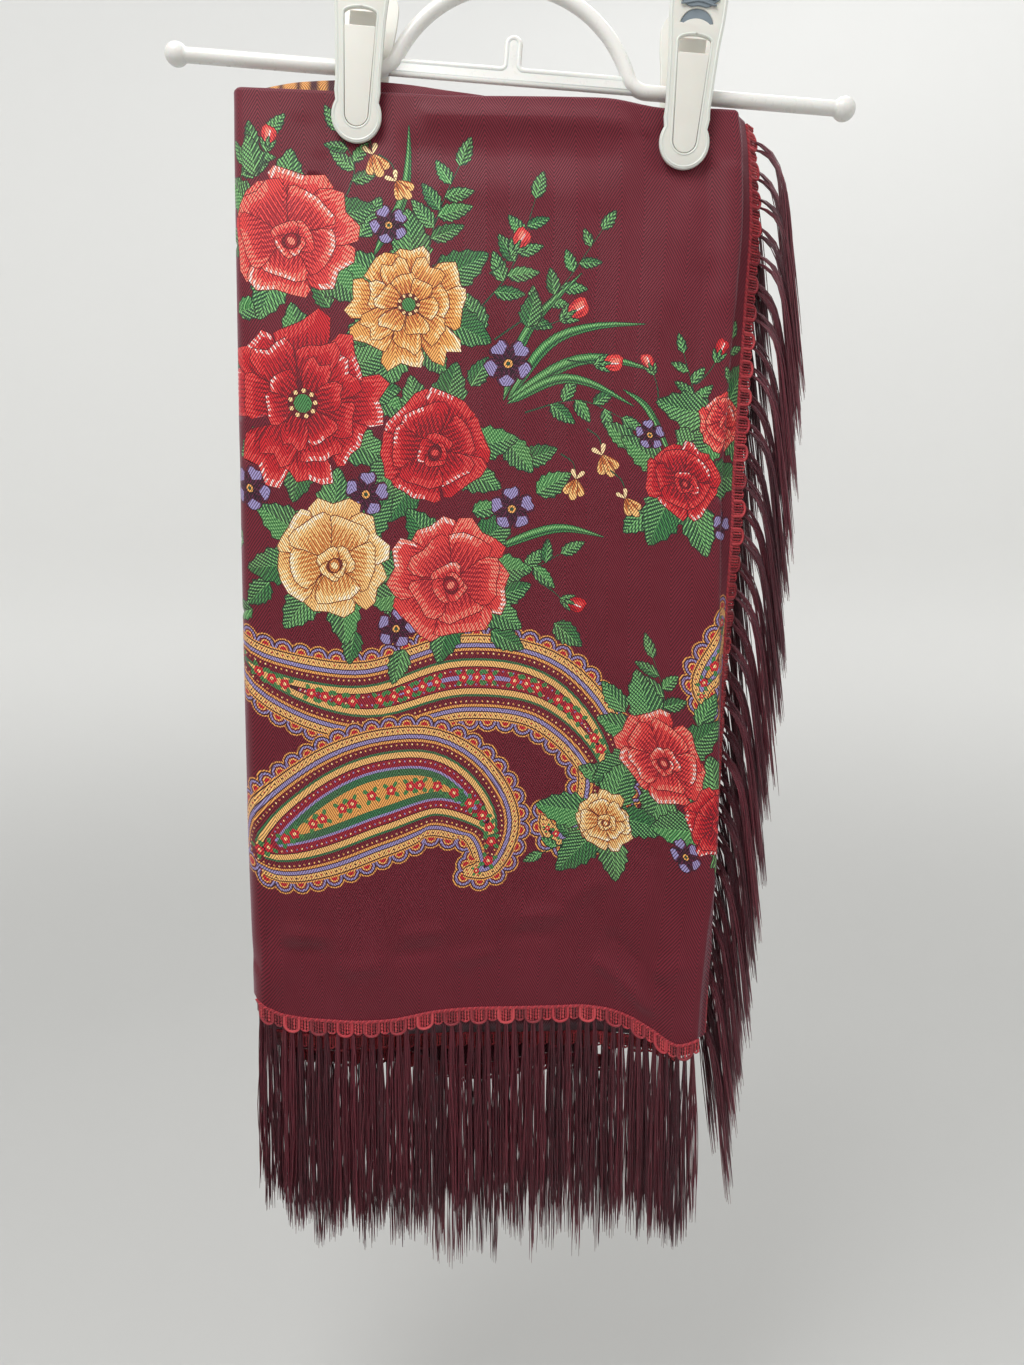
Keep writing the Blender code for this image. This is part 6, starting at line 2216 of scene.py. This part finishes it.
def make_lever(name, place, face, front):
    """One lever with its tongue plate and its rubber pad."""
    prefix = f"clip_{name}_{face}"
    seat = hanger_turn() @ Matrix.Translation((place, 0, -ROD_DROP)) @ lever_matrix(front)

    def raised(distance):
        return seat @ Matrix.Translation((0, 0, distance))

    outer = lever_outline()
    slot = tongue_outline(GAP, SLOT_CEILING, True)
    holes = [slot, crescent_outline()]
    body = plate(f"{prefix}_body", [inset(outer, 0.1 * MM), *holes], 2.6 * MM, CLIP_MATERIAL, 0.45 * MM, seat)
    rim_line = rim_path(inset(outer, RIM_RADIUS), 0.25 * MM)
    rim = bead("rim", rim_line, RIM_RADIUS, CLIP_MATERIAL, seat)
    slot_line = rim_path(inset(slot, -SLOT_RIM_RADIUS), 0.85 * MM)
    slot_rim = bead("slot_rim", slot_line, SLOT_RIM_RADIUS, CLIP_MATERIAL, seat)
    made = joined(f"{prefix}_lever_shell", [body, rim, slot_rim])
    made.data.polygons.foreach_set("use_smooth", np.full(len(made.data.polygons), True))
    made.data.set_sharp_from_angle(angle=math.radians(40))
    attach(made, "root")
    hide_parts(f"{prefix}_lever")
    tab = tongue_outline(0.0, TONGUE_TOP, False)
    sunk = raised(-0.15 * MM)
    tongue = plate(f"{prefix}_tongue_plate", [tab], TONGUE_THICKNESS, CLIP_MATERIAL, 0.3 * MM, sunk)
    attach(tongue, "root")
    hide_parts(f"{prefix}_tongue")
    pad = plate(f"{prefix}_pad_body", [pad_outline()], 1.0 * MM, RUBBER, 0.35 * MM, raised(1.75 * MM))
    ribs = pad_ribs(seat)
    filling = [crescent_outline(-0.05 * MM)]
    insert = plate("insert", filling, 1.6 * MM, RUBBER, 0.2 * MM, raised(-0.1 * MM))
    pads = joined(f"{prefix}_rubber_grip", [pad, insert] + ribs)
    pads.data.polygons.foreach_set("use_smooth", np.full(len(pads.data.polygons), True))
    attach(pads, "root")
    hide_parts(f"{prefix}_pad")


def dress_saddles():
    for name in CLIP_PLACES:
        saddle = bpy.data.objects[f"clip_{name}_saddle"]
        for slot in saddle.material_slots:
            slot.material = CLIP_MATERIAL


# Room, light and camera


WALL_COLOURS = ((238, 238, 236), (242, 242, 240))
# The floor's grey, which also serves as painted shade low on the wall.
FLOOR_AND_PAINTED_SHADE = (198, 198, 196)


def make_studio():
    """A round pale bowl: a floor that turns up into a wall, with painted shade that darkens the lower wall towards
    the floor's grey.
    """
    radius, turn_radius, floor_level, wall_top, sides = 1.7, 0.7, -1.0, 1.6, 72
    profile = [(0.0001, floor_level), (0.5, floor_level)]
    profile += arc((radius - turn_radius, floor_level + turn_radius), turn_radius, 270, 360, 16)
    profile.append((radius, wall_top))
    points, faces = [], []
    for i in range(sides):
        turn = 2 * math.pi * i / sides
        for far, level in profile:
            points.append((far * math.cos(turn), far * math.sin(turn), level))
    rows = len(profile)
    for i in range(sides):
        for k in range(rows - 1):
            after = (i + 1) % sides
            faces.append((i * rows + k, after * rows + k, after * rows + k + 1, i * rows + k + 1))
    made, tree, shader = new_material("studio_pale_paint")
    place = node(tree, "ShaderNodeTexCoord").outputs["Object"]
    cloud = mix(tree, noise(tree, place, 1.5, 2.0), *(linear(colour) for colour in WALL_COLOURS))
    parts = node(tree, "ShaderNodeSeparateXYZ")
    tree.links.new(place, parts.inputs[0])
    # Painted shade: the wall darkens into the floor's grey from 0.45 m to 1 m below the origin.
    low = remap(tree, parts.outputs["Z"], -0.45, -1.0)
    tree.links.new(mix(tree, low, cloud, linear(FLOOR_AND_PAINTED_SHADE)), shader.inputs["Base Color"])
    shader.inputs["Roughness"].default_value = 0.9
    bowl = mesh_piece("studio_bowl", np.array(points), np.array(faces), [made])


def area_light(name, place, aim, size, power):
    data = bpy.data.lights.new(name, "AREA")
    data.shape = "DISK"
    data.size = size
    data.energy = power
    made = bpy.data.objects.new(name, data)
    bpy.context.scene.collection.objects.link(made)
    made.location = place
    made.rotation_euler = (Vector(aim) - Vector(place)).to_track_quat("-Z", "Y").to_euler()


def light_scene():
    area_light("key", (-0.34, -0.62, 0.55), (0, 0, -0.3), 0.6, 8.0)
    area_light("fill", (1.0, -1.0, 0.5), (0, 0, -0.3), 1.2, 1.5)
    area_light("back", (0.4, 0.9, 1.4), (0, 0, -0.4), 1.2, 12.0)
    world = bpy.data.worlds.new("studio")
    bpy.context.scene.world = world
    world.use_nodes = True
    background = world.node_tree.nodes["Background"]
    background.inputs["Color"].default_value = (0.98, 0.985, 1.0, 1.0)
    background.inputs["Strength"].default_value = 0.70


def make_camera():
    data = bpy.data.cameras.new("camera")
    data.lens = CAMERA_LENS
    data.sensor_width = 36.0
    data.clip_start = 0.01
    made = bpy.data.objects.new("camera", data)
    bpy.context.scene.collection.objects.link(made)
    made.location = CAMERA_PLACE
    made.rotation_euler = (math.pi / 2 - CAMERA_TILT, 0, 0)
    bpy.context.scene.camera = made


PRINT_SHAPES = draw_print()

make_camera()
PLASTIC = white_plastic()
CLIP_MATERIAL = clip_plastic()
RUBBER = rubber()
CLOTH_MATERIAL = printed_cloth()
BRAID_MATERIAL = braid_material()
THREAD_MATERIAL = thread_material()

front, back = make_outer()
strip = make_back_strip()
layers = make_inner_layers()
fringes = make_fringes()
make_hanger()
for clip_name, clip_place in CLIP_PLACES.items():
    for clip_face, clip_front in (("front", True), ("back", False)):
        make_lever(clip_name, clip_place, clip_face, clip_front)
dress_saddles()
make_studio()
light_scene()

bpy.context.scene.view_settings.view_transform = "Standard"
